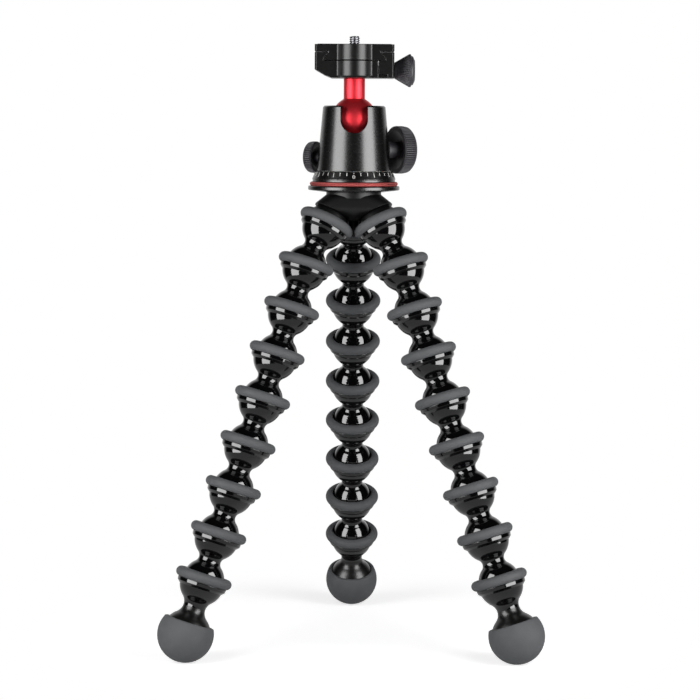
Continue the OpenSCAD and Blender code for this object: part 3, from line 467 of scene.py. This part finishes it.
accent_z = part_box("accent_ring")[0][2]
accent_r, accent_bore_r, accent_h = 27.2 * mm, 18.0 * mm, 2.5 * mm
accent_round, bore_round = 1.2 * mm, 0.2 * mm
accent_section = rounded([
    (accent_bore_r, 0, bore_round), (accent_r, 0, accent_round), (accent_r, accent_h, accent_round),
    (accent_bore_r, accent_h, bore_round)], closed=True)
shape = lathe(accent_section, axis_foot + accent_z * up, up, turned_steps)
accent = add_piece("accent_ring_turned", shape, blasted_red, "stand")
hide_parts("accent_ring")


# Pan base: turned black anodised aluminium with a spigot for the accent ring, a narrow groove,
# a sloping band for the scale, and the post that the housing turns on.
base_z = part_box("pan_base")[0][2]
post_r, post_h = 8.0 * mm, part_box("pan_base")[1][2] - base_z
spigot_r, spigot_h = 17.95 * mm, 2.5 * mm
scale_low = np.array([25.9, 4.0]) * mm
scale_top = np.array([23.9, 8.9]) * mm
base_section = rounded([
    (0, 0, 0), (spigot_r, 0, 0), (spigot_r, spigot_h, 0), (25.5 * mm, spigot_h, 0.2 * mm),
    (25.6 * mm, 3.9 * mm, 0.1 * mm), (*scale_low, 0.25 * mm), (*scale_top, 0.3 * mm),
    (post_r, scale_top[1], 0), (post_r, post_h, 0.3 * mm), (0, post_h, 0)])
shape = lathe(base_section, axis_foot + base_z * up, up, turned_steps)
base = add_piece("pan_base_turned", shape, black_anodised, "stand")
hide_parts("pan_base")


# Degree scale: white marks every 10 degrees and longer ones every 30, pad-printed on the sloping
# band, with the numbers 0, 90, 180 and 270.
# Printed ink: a thin matt white film that covers a little unevenly, in patches drawn 0.3 mm coarse.
printed_ink, tree, shader, place = start_finish("pad_printed_white_ink", IOR=1.5)
cover = add_node(tree, "ShaderNodeTexNoise", {"Vector": place, "Scale": 1 / (0.3 * mm), "Detail": 2.0})
tone = add_node(
    tree, "ShaderNodeMix", {"Factor": cover.outputs["Fac"], "A": linear("#d2d2ce"), "B": linear("#f2f2ee")},
    data_type="RGBA")
dull = add_node(tree, "ShaderNodeMapRange", {"Value": cover.outputs["Fac"], "To Min": 0.45, "To Max": 0.6})
tree.links.new(tone.outputs["Result"], shader.inputs["Base Color"])
tree.links.new(dull.outputs["Result"], shader.inputs["Roughness"])

band_len = np.linalg.norm(scale_top - scale_low)
slope = (scale_top - scale_low) / band_len
facing = np.array([slope[1], -slope[0]])


def on_scale(across, along, off, turn):
    """A point on the sloping band: across runs round it, along runs up it from its lower edge, off stands
    out of it, and turn is the angle from the front."""
    radius = scale_low[0] + slope[0] * along + facing[0] * off
    height = scale_low[1] + slope[1] * along + facing[1] * off
    angle = turn + across / scale_low[0]
    spot = np.broadcast_arrays(radius * np.sin(angle), -radius * np.cos(angle), base_z + height)
    return axis_foot + np.stack(spot, axis=-1)


mark_count, mark_half_w, mark_inset = 36, 0.18 * mm, 0.45 * mm
short_len, long_len, numbered_len = 2.2 * mm, 3.1 * mm, 0.8 * mm
film_low, film_top = -0.02 * mm, 0.025 * mm
mark = np.arange(mark_count)[:, None, None, None]
mark_len = np.where(mark % 9 == 0, numbered_len, np.where(mark % 3 == 0, long_len, short_len))
across = np.array([-mark_half_w, mark_half_w])[None, :, None, None]
along = band_len - mark_inset - mark_len * np.array([0.0, 1.0])[None, None, :, None]
off = np.array([film_low, film_top])[None, None, None, :]
marks = on_scale(across, along, off, np.radians(mark * 360 / mark_count)).reshape(-1, 3)
box_faces = np.array([[0, 1, 3, 2], [4, 6, 7, 5], [0, 4, 5, 1], [2, 3, 7, 6], [0, 2, 6, 4], [1, 5, 7, 3]])
mark_faces = (box_faces[None] + 8 * np.arange(mark_count)[:, None, None]).reshape(-1, 4)
corner = marks[mark_faces]
outward = np.cross(corner[:, 1] - corner[:, 0], corner[:, 2] - corner[:, 0])
middles = marks.reshape(mark_count, 8, 3).mean(axis=1).repeat(6, axis=0)
wrong = np.einsum("ij,ij->i", outward, corner.mean(axis=1) - middles) < 0
mark_faces[wrong] = mark_faces[wrong][:, ::-1]
scale = add_piece("scale_marks", (marks, mark_faces.tolist()), printed_ink, "stand")
scale.data.shade_flat()

number_size, number_widen, number_lift = 3.2 * mm, 1.2, 1.0 * mm
number_depth, number_off = 0.02 * mm, 0.005 * mm
for number in ("0", "90", "180", "270"):
    words = bpy.data.curves.new(f"scale_number_{number}", "FONT")
    words.body = number
    words.size, words.align_x, words.extrude = number_size, "CENTER", number_depth
    drawn = bpy.data.objects.new(f"scale_text_{number}", words)
    bpy.context.scene.collection.objects.link(drawn)
    flat = bpy.data.meshes.new_from_object(drawn.evaluated_get(bpy.context.evaluated_depsgraph_get()))
    bpy.data.objects.remove(drawn)
    spots = np.zeros(len(flat.vertices) * 3)
    flat.vertices.foreach_get("co", spots)
    x, y, z = spots.reshape(-1, 3).T
    placed = on_scale(number_widen * x, y + number_lift, z + number_off, math.radians(float(number)))
    flat.vertices.foreach_set("co", placed.astype(np.float32).ravel())
    flat.materials.clear()
    flat.materials.append(printed_ink)
    flat.update()
    numeral = bpy.data.objects.new(f"scale_number_{number}", flat)
    bpy.context.scene.collection.objects.link(numeral)
    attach(numeral, "stand")


# Ball housing: a tapered aluminium housing, turned and anodised black, with a drop notch milled
# in front so that the stem can lie level. It turns on the pan base's post.
dress("ball_housing", black_anodised)


# Ball and stem: one piece of red anodised aluminium, turned; the ball sits in the housing between
# its seat and the lower cup, and the stem carries the clamp.
# Red anodised aluminium: a clear red dye over bright metal, so the highlights are pink.
red_anodised, tree, shader, place = start_finish("turned_red_anodised_aluminium", Metallic=0.8)
blotch = add_node(tree, "ShaderNodeTexNoise", {"Vector": place, "Scale": 1 / (1.5 * mm), "Detail": 4.0})
rings = add_node(
    tree, "ShaderNodeTexWave",
    {"Vector": place, "Scale": wave_span / ring_pitch, "Distortion": 1.0, "Detail": 2.0}, bands_direction="Z")
tone = add_node(
    tree, "ShaderNodeMix", {"Factor": blotch.outputs["Fac"], "A": linear("#c0242e"), "B": linear("#cc2e38")},
    data_type="RGBA")
dull = add_node(tree, "ShaderNodeMapRange", {"Value": blotch.outputs["Fac"], "To Min": 0.42, "To Max": 0.48})
skin = add_node(tree, "ShaderNodeBump", {
    "Height": rings.outputs["Fac"], "Strength": 0.02, "Distance": 0.02 * mm})
tree.links.new(tone.outputs["Result"], shader.inputs["Base Color"])
tree.links.new(dull.outputs["Result"], shader.inputs["Roughness"])
tree.links.new(skin.outputs["Normal"], shader.inputs["Normal"])

ball_at = centres["ball"]
stem_r, head_r, stem_h = 6.55 * mm, 14.2 * mm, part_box("ball_stem")[1][2] - ball_at[2]
root_round, root_flat = 0.8 * mm, 0.4 * mm
root_h = math.sqrt((head_r + root_round) ** 2 - (stem_r + root_round) ** 2)
root_turn = math.degrees(math.atan2(root_h, stem_r + root_round))
stem_section = np.concatenate([
    arc((0, 0), head_r, -90, root_turn, 48)[:-1],
    arc((stem_r + root_round, root_h), root_round, 180 + root_turn, 180, 6),
    rounded([(stem_r, root_h + root_flat, 0), (stem_r, stem_h, 0.3 * mm), (0, stem_h, 0)])])
stem_section[[0, -1], 0] = 0
stem = add_piece("ball_and_stem", lathe(stem_section, ball_at, up, 144), red_anodised, "ball")
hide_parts("ball_stem")


# Lock knobs: charcoal nylon knobs moulded on the ball lock and pan lock screws, with a ribbed rim,
# a dished inner face and a flat outer face.
# Charcoal nylon: a dull grey-violet moulding with a fine texture, drawn 0.4 mm coarse to show.
charcoal_nylon, tree, shader, place = start_finish("textured_moulded_charcoal_nylon", Specular_IOR_Level=0.38)
pits = add_node(tree, "ShaderNodeTexNoise", {"Vector": place, "Scale": 1 / (0.4 * mm), "Detail": 3.0})
tone = add_node(
    tree, "ShaderNodeMix", {"Factor": pits.outputs["Fac"], "A": linear("#29272d"), "B": linear("#353339")},
    data_type="RGBA")
dull = add_node(tree, "ShaderNodeMapRange", {"Value": pits.outputs["Fac"], "To Min": 0.42, "To Max": 0.6})
skin = add_node(tree, "ShaderNodeBump", {
    "Height": pits.outputs["Fac"], "Strength": 0.25, "Distance": 0.03 * mm})
tree.links.new(tone.outputs["Result"], shader.inputs["Base Color"])
tree.links.new(dull.outputs["Result"], shader.inputs["Roughness"])
tree.links.new(skin.outputs["Normal"], shader.inputs["Normal"])

rib_steps, lock_rib_depth = 12, 1.1 * mm


def ribs(count, depth, rim_r, low, high, fade):
    """Relief of axial ribs: narrow grooves, depth times the cube of a raised cosine of the angle, on the
    rim between two heights, fading out over a short length at both ends."""
    def relief(radius, height, turn):
        there = np.clip((height - low) / fade, 0, 1) * np.clip((high - height) / fade, 0, 1)
        there = there * (radius > rim_r)
        return -depth * there * (0.5 - 0.5 * np.cos(count * turn)) ** 3
    return relief


def lock_knob(name, node, body, knob_r, rim_w, rib_count):
    """A knob on its screw's axis, a half section carried round it: hub, dished inner face, ribbed rim and
    a shallow recess in the outer face. Its ends are those of the CAD knob along the axis."""
    axis = next(np.array(j["axis"]) for j in frame["joints"] if j["child"] == body)
    start = centres[body]
    spots = np.zeros(len(frame["nodes"][node].data.vertices) * 3)
    frame["nodes"][node].data.vertices.foreach_get("co", spots)
    reach = (spots.reshape(-1, 3) - start) @ axis
    inner, outer = reach.min(), reach.max()
    rim = outer - rim_w
    hub_r, face_r, recess = 0.34 * knob_r, 0.66 * knob_r, 0.5 * mm
    shoulder_r, edge_r, ribbed_r = 0.97 * knob_r, 0.88 * knob_r, 0.84 * knob_r
    body_section = rounded([
        (0, inner, 0), (hub_r, inner, 0.3 * mm), (hub_r, rim + 3.0 * mm, 0.5 * mm),
        (knob_r - 2.6 * mm, rim, 0.4 * mm), (knob_r - 0.8 * mm, rim, 0.3 * mm),
        (knob_r, rim + 0.8 * mm, 0.3 * mm), (knob_r, rim + 0.55 * rim_w, 1.5 * mm),
        (shoulder_r, rim + 0.85 * rim_w, 0.8 * mm), (edge_r, outer, 0.5 * mm),
        (face_r, outer, 0.2 * mm), (face_r - recess, outer - recess, 0.2 * mm), (0, outer - recess, 0)])
    relief = ribs(rib_count, lock_rib_depth, ribbed_r, rim + 0.4 * mm, outer - 0.2 * mm, 0.5 * mm)
    shape = lathe(body_section, start, axis, rib_count * rib_steps, relief)
    knob = add_piece(name, shape, charcoal_nylon, body)
    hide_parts(node)


lock_knob("ball_lock_knob_ribbed", "ball_lock_knob", "ball_lock", 14.8 * mm, 9.0 * mm, 72)
lock_knob("pan_lock_knob_ribbed", "pan_lock_knob", "pan_lock", 9.8 * mm, 6.0 * mm, 48)


# Clamp: milled aluminium, anodised black. The body carries the fixed jaw and the channel's floor;
# the moving jaw runs on two pins and is drawn in by the clamp screw.
# Milled black anodised aluminium: the same dyed oxide, but with straight cutter lines along the part,
# drawn 0.4 mm apart and 6 mm long so that they show.
line_len, line_gap = 6 * mm, 0.4 * mm
milled_anodised, tree, shader, place = start_finish(
    "milled_black_anodised_aluminium", Specular_IOR_Level=0.38)
stretch = add_node(tree, "ShaderNodeMapping", {
    "Vector": place, "Scale": (1 / line_len, 1 / line_gap, 1 / line_gap)})
lines = add_node(tree, "ShaderNodeTexNoise", {
    "Vector": stretch.outputs["Vector"], "Scale": 1.0, "Detail": 3.0})
blotch = add_node(tree, "ShaderNodeTexNoise", {"Vector": place, "Scale": 1 / (2 * mm), "Detail": 4.0})
tone = add_node(
    tree, "ShaderNodeMix", {"Factor": blotch.outputs["Fac"], "A": linear("#020202"), "B": linear("#060605")},
    data_type="RGBA")
dull = add_node(tree, "ShaderNodeMapRange", {"Value": blotch.outputs["Fac"], "To Min": 0.3, "To Max": 0.36})
soft_edge = add_node(tree, "ShaderNodeBevel", {"Radius": 0.45 * mm}, samples=8)
skin = add_node(tree, "ShaderNodeBump", {
    "Height": lines.outputs["Fac"], "Strength": 0.08, "Distance": 0.02 * mm,
    "Normal": soft_edge.outputs["Normal"]})
tree.links.new(tone.outputs["Result"], shader.inputs["Base Color"])
tree.links.new(dull.outputs["Result"], shader.inputs["Roughness"])
tree.links.new(skin.outputs["Normal"], shader.inputs["Normal"])
for node in ("clamp_body", "clamp_jaw"):
    dress(node, milled_anodised)


def prism(outlines, low, high):
    """Upright walls on closed outlines: point(s, z) = (x(s), y(s), z) from low to high, with a flat cap at
    both ends of each."""
    points, faces = [], []
    for outline in outlines:
        outline = np.asarray(outline)
        after = np.roll(outline, -1, axis=0)
        if np.sum(outline[:, 0] * after[:, 1] - after[:, 0] * outline[:, 1]) < 0:
            outline = outline[::-1]
        first, count = sum(len(part) for part in points), len(outline)
        base = first + np.arange(count)
        points.append(np.concatenate([np.column_stack([outline, np.full(count, z)]) for z in (low, high)]))
        walls = np.stack([base, np.roll(base, -1), np.roll(base, -1) + count, base + count], axis=1)
        faces += walls.tolist() + [base[::-1].tolist(), (base + count).tolist()]
    return np.concatenate(points), faces


def nose_fillets(name, low, high, body):
    """The hollow rounding that the cutter leaves where a nose meets the straight end: an arc of 1.2 mm that
    touches both, on both sides of the two noses, carried from low to high. Its back is sunk in the solid."""
    nose_r, nose_y, half_len, fillet = 10.8 * mm, 11.5 * mm, 15.5 * mm, 1.2 * mm
    rise = half_len + fillet - nose_y
    out = math.sqrt((nose_r + fillet) ** 2 - rise ** 2)
    hollow = arc((out, half_len + fillet), fillet, -90, -180 + math.degrees(math.atan2(rise, out)), 8)
    sunk = [hollow[-1] * 0.97, (0.85 * out, half_len - 0.4 * mm), (out, half_len - 0.3 * mm)]
    corner = np.concatenate([hollow, sunk])
    outlines = [axis_foot[:2] + corner * (x, y) for x in (-1, 1) for y in (-1, 1)]
    strip = add_piece(name, prism(outlines, low, high), milled_anodised, body)
    strip.data.set_sharp_from_angle(angle=crease)


clamp_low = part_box("clamp_body")[0][2]
plate_low, plate_high = (corner[2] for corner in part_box("release_plate"))
floor_h, plate_gap = 1.3 * mm, 0.5 * mm
nose_fillets("clamp_nose_fillets", clamp_low + floor_h, plate_low - plate_gap, "clamp")


# Clamp knob: charcoal nylon, moulded on the clamp screw; a ribbed trumpet that widens to a rim and
# ends in a low dome.
knob_low, knob_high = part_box("clamp_knob")
knob_at = (knob_low[0], axis_foot[1], (knob_low[2] + knob_high[2]) / 2)
knob_len = knob_high[0] - knob_low[0]
knob_r, neck = 10.1 * mm, 5.0 * mm
rim = knob_len - 3.0 * mm
knob_ribs, knob_rib_depth, knob_rows = 48, 0.5 * mm, 90
outline = rounded([
    (0, 0, 0), (neck, 0, 0.3 * mm), (neck + 0.6 * mm, 1.2 * mm, 0.4 * mm),
    (knob_r - 1.4 * mm, rim - 3.0 * mm, 2.0 * mm), (knob_r, rim - 0.6 * mm, 0.3 * mm),
    (knob_r, rim + 0.4 * mm, 0.3 * mm), (knob_r - 1.0 * mm, rim + 0.8 * mm, 0.2 * mm),
    (knob_r - 1.4 * mm, rim + 1.8 * mm, 0.5 * mm), (knob_r - 4.0 * mm, knob_len, 2.0 * mm), (0, knob_len, 0)])
share, known = np.linspace(0, 1, knob_rows), np.linspace(0, 1, len(outline))
trumpet = np.stack([np.interp(share, known, outline[:, i]) for i in (0, 1)], axis=1)
trumpet_ribs = ribs(knob_ribs, knob_rib_depth, neck + 0.3 * mm, 1.0 * mm, rim + 0.3 * mm, 0.8 * mm)
shape = lathe(trumpet, knob_at, (1.0, 0.0, 0.0), knob_ribs * 10, trumpet_ribs)
clamp_knob = add_piece("clamp_knob_ribbed", shape, charcoal_nylon, "clamp_turner")
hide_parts("clamp_knob")


# Quick-release plate: milled and black anodised like the clamp, with a dovetail below, a round nose
# at each end, and a rubber pad let into its top.
dress("release_plate", milled_anodised)
dress("plate_pad", matt_rubber)
nose_fillets("plate_nose_fillets", plate_low, plate_high, "plate")


# Camera screw: turned steel, zinc plated, with a quarter-inch thread of 20 turns an inch above the pad,
# an undercut inside the plate and a head with a coin slot below.
screw_low, screw_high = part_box("camera_screw")
pad_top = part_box("plate_pad")[1][2]
thread_r, thread_pitch, thread_depth = 3.175 * mm, 1.27 * mm, 0.55 * mm
tip_flat_r, thread_rows = 2.0 * mm, 64
flank_gain, crest_cut = 1.9, 0.6
undercut_r, screw_head_r, screw_head_h, slot_half = 2.5 * mm, 7.5 * mm, 2.6 * mm, 0.8 * mm
thread_h = screw_high[2] - pad_top


def helix(radius, height, turn):
    """Relief of the thread: a triangle wave of height over pitch less the angle, its crests and roots cut
    flat. The middle of the tip stays plain."""
    phase = (height / thread_pitch - turn / (2 * math.pi)) % 1.0
    wave = np.clip(flank_gain * np.abs(2 * phase - 1) - crest_cut, 0, 1)
    return -thread_depth * wave * (radius > tip_flat_r)


slot_top, head_top = screw_low[2] + screw_head_h / 2, screw_low[2] + screw_head_h
root = slot_top - pad_top
rise = np.linspace(0, thread_h - 0.5 * mm, thread_rows)
screw_section = np.concatenate([
    [[0, root], [undercut_r, root], [undercut_r, -0.1 * mm]],
    np.stack([np.full(thread_rows, thread_r), rise], axis=1),
    rounded([(thread_r - 0.3 * mm, thread_h - 0.25 * mm, 0), (thread_r - 0.7 * mm, thread_h, 0.1 * mm),
             (0, thread_h, 0)])])
shape = lathe(screw_section, (0, axis_foot[1], pad_top), up, relief=helix)
thread = add_piece("camera_screw_thread", shape, plated_steel, "camera_bolt")
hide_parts("camera_screw")

slot_end = math.degrees(math.asin(slot_half / screw_head_r))
halves = [axis_foot[:2] + arc((0, 0), screw_head_r, turn + slot_end, turn + 180 - slot_end, 40)
          for turn in (0, 180)]
edge_steps = 96
disc_edge = [axis_foot[:2] + arc((0, 0), screw_head_r, 0, 360 - 360 / edge_steps, edge_steps - 1)]
for name, outlines, low, high in (("slotted", halves, screw_low[2], slot_top),
                                  ("flange", disc_edge, slot_top, head_top)):
    head = add_piece(f"camera_screw_head_{name}", prism(outlines, low, high), plated_steel, "camera_bolt")
    head.data.set_sharp_from_angle(angle=crease)
    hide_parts("camera_screw")


# Stage: a round white table top under the tripod. The camera and glass see it pure white towards its
# edge, so that it melts into the white background, and mirrors see it a little darker; near the feet
# it keeps their shadow.
table_r, table_t, table_edge = 0.56, 12 * mm, 2 * mm
shadow_r, white_r, near_glow, mirror_share = 0.11, 0.21, 0.64, 0.6
table_section = rounded([
    (0, -table_t, 0), (table_r, -table_t, table_edge), (table_r, 0, table_edge), (0, 0, 0)])
points, faces = lathe(table_section, (0.0, 0.0, 0.0), up, 128)
table = bpy.data.meshes.new("table_top")
table.from_pydata(points.tolist(), [], faces)
table_top = bpy.data.objects.new("table_top", table)
bpy.context.scene.collection.objects.link(table_top)
table_finish = bpy.data.materials.new("white_laminate_table_top")
table_finish.use_nodes = True
tree = table_finish.node_tree
tree.nodes.clear()
place = add_node(tree, "ShaderNodeTexCoord", {})
far = add_node(tree, "ShaderNodeVectorMath", {0: place.outputs["Object"]}, operation="LENGTH")
fade = add_node(
    tree, "ShaderNodeMapRange", {"Value": far.outputs["Value"], "From Min": shadow_r, "From Max": white_r},
    interpolation_type="SMOOTHSTEP")
ray = add_node(tree, "ShaderNodeLightPath", {})
clear = add_node(
    tree, "ShaderNodeMath", {0: ray.outputs["Is Camera Ray"], 1: ray.outputs["Is Transmission Ray"]},
    operation="MAXIMUM")
mirror = add_node(
    tree, "ShaderNodeMath", {0: ray.outputs["Is Glossy Ray"], 1: mirror_share}, operation="MULTIPLY")
seen = add_node(
    tree, "ShaderNodeMath", {0: clear.outputs["Value"], 1: mirror.outputs["Value"]}, operation="MAXIMUM")
dark = add_node(tree, "ShaderNodeEmission", {"Strength": 0.0})
paint = add_node(tree, "ShaderNodeBsdfDiffuse", {"Color": linear("#f0f0f0")})
floor = add_node(tree, "ShaderNodeMixShader", {
    "Fac": ray.outputs["Is Glossy Ray"], 1: paint.outputs["BSDF"], 2: dark.outputs["Emission"]})
glow_near = add_node(tree, "ShaderNodeEmission", {"Color": (1, 1, 1, 1), "Strength": near_glow})
near = add_node(tree, "ShaderNodeAddShader", {0: paint.outputs["BSDF"], 1: glow_near.outputs["Emission"]})
glow_far = add_node(tree, "ShaderNodeEmission", {"Color": (1, 1, 1, 1), "Strength": 1.0})
shown = add_node(tree, "ShaderNodeMixShader", {
    "Fac": fade.outputs["Result"], 1: near.outputs["Shader"], 2: glow_far.outputs["Emission"]})
choice = add_node(tree, "ShaderNodeMixShader", {
    "Fac": seen.outputs["Value"], 1: floor.outputs["Shader"], 2: shown.outputs["Shader"]})
add_node(tree, "ShaderNodeOutputMaterial", {"Surface": choice.outputs["Shader"]})
table.materials.append(table_finish)


# Background: white to the camera; mirrors see white only behind the tripod, as from a white sweep,
# and the dark studio elsewhere. A little even light fills the shadows.
sweep_start, sweep_full, fill = 0.45, 0.85, 0.1
world = bpy.data.worlds.new("studio")
bpy.context.scene.world = world
world.use_nodes = True
tree = world.node_tree
tree.nodes.clear()
place = add_node(tree, "ShaderNodeTexCoord", {})
way = add_node(tree, "ShaderNodeSeparateXYZ", {"Vector": place.outputs["Generated"]})
behind = add_node(
    tree, "ShaderNodeMapRange", {"Value": way.outputs["Y"], "From Min": sweep_start, "From Max": sweep_full},
    interpolation_type="SMOOTHSTEP")
ray = add_node(tree, "ShaderNodeLightPath", {})
clear = add_node(
    tree, "ShaderNodeMath", {0: ray.outputs["Is Camera Ray"], 1: ray.outputs["Is Transmission Ray"]},
    operation="MAXIMUM")
mirror = add_node(
    tree, "ShaderNodeMath", {0: ray.outputs["Is Glossy Ray"], 1: behind.outputs["Result"]},
    operation="MULTIPLY")
seen = add_node(
    tree, "ShaderNodeMath", {0: clear.outputs["Value"], 1: mirror.outputs["Value"]}, operation="MAXIMUM")
lifted = add_node(tree, "ShaderNodeMath", {0: ray.outputs["Is Diffuse Ray"], 1: fill}, operation="MULTIPLY")
level = add_node(
    tree, "ShaderNodeMath", {0: seen.outputs["Value"], 1: lifted.outputs["Value"]}, operation="MAXIMUM")
sky = add_node(tree, "ShaderNodeBackground", {"Color": (1, 1, 1, 1), "Strength": level.outputs["Value"]})
add_node(tree, "ShaderNodeOutputWorld", {"Surface": sky.outputs["Background"]})


# Lamps: one tall soft box on each side of the camera, its foot just under the table's level, and for the
# mirror-like black parts the same two boxes once more, brighter and seen in reflections alone.
lamp_turn, lamp_w, lamp_h, lamp_z = math.radians(50), 0.43, 0.62, 0.28
lamp_reach, gloss_reach = 0.6, 0.58
light_radiance, gloss_radiance = 4.3, 6.0


def soft_box(name, side, radiance, mirrors_only):
    """An upright soft box that faces the tripod from one side; its energy is radiance times pi times its
    area."""
    turn = lamp_turn * side
    reach = gloss_reach if mirrors_only else lamp_reach
    lamp = bpy.data.lights.new(name, "AREA")
    lamp.shape, lamp.size, lamp.size_y = "RECTANGLE", lamp_w, lamp_h
    lamp.energy = radiance * math.pi * lamp_w * lamp_h
    box = bpy.data.objects.new(name, lamp)
    box.location = (reach * math.sin(turn), axis_foot[1] - reach * math.cos(turn), lamp_z)
    box.rotation_euler = (math.pi / 2, 0.0, turn)
    box.visible_camera = False
    box.visible_diffuse = not mirrors_only
    bpy.context.scene.collection.objects.link(box)


for side, name, level in ((-1, "left", 0.92), (1, "right", 1.1)):
    soft_box(f"{name}_soft_box", side, light_radiance * level, False)
    soft_box(f"{name}_soft_box_gloss", side, gloss_radiance, True)


# Camera: in front, a little above the hub and looking slightly down, as in the photograph; its turns
# and its shift in pixels come from fitting the joints' places to the photograph.
image_px, camera_reach, camera_z = 700, 1.423, 0.325
look_down, roll, swing = math.radians(5.676), math.radians(-0.34), math.radians(0.034)
lens = bpy.data.cameras.new("photo_camera")
lens.lens, lens.sensor_width = 117.93, 36.0
lens.shift_x, lens.shift_y = -2.8 / image_px, 2.4 / image_px
camera = bpy.data.objects.new("photo_camera", lens)
camera.location = (0.0, axis_foot[1] - camera_reach, camera_z)
camera.rotation_euler = (math.pi / 2 - look_down, roll, swing)
bpy.context.scene.collection.objects.link(camera)
bpy.context.scene.camera = camera
bpy.context.scene.view_settings.view_transform = "Standard"
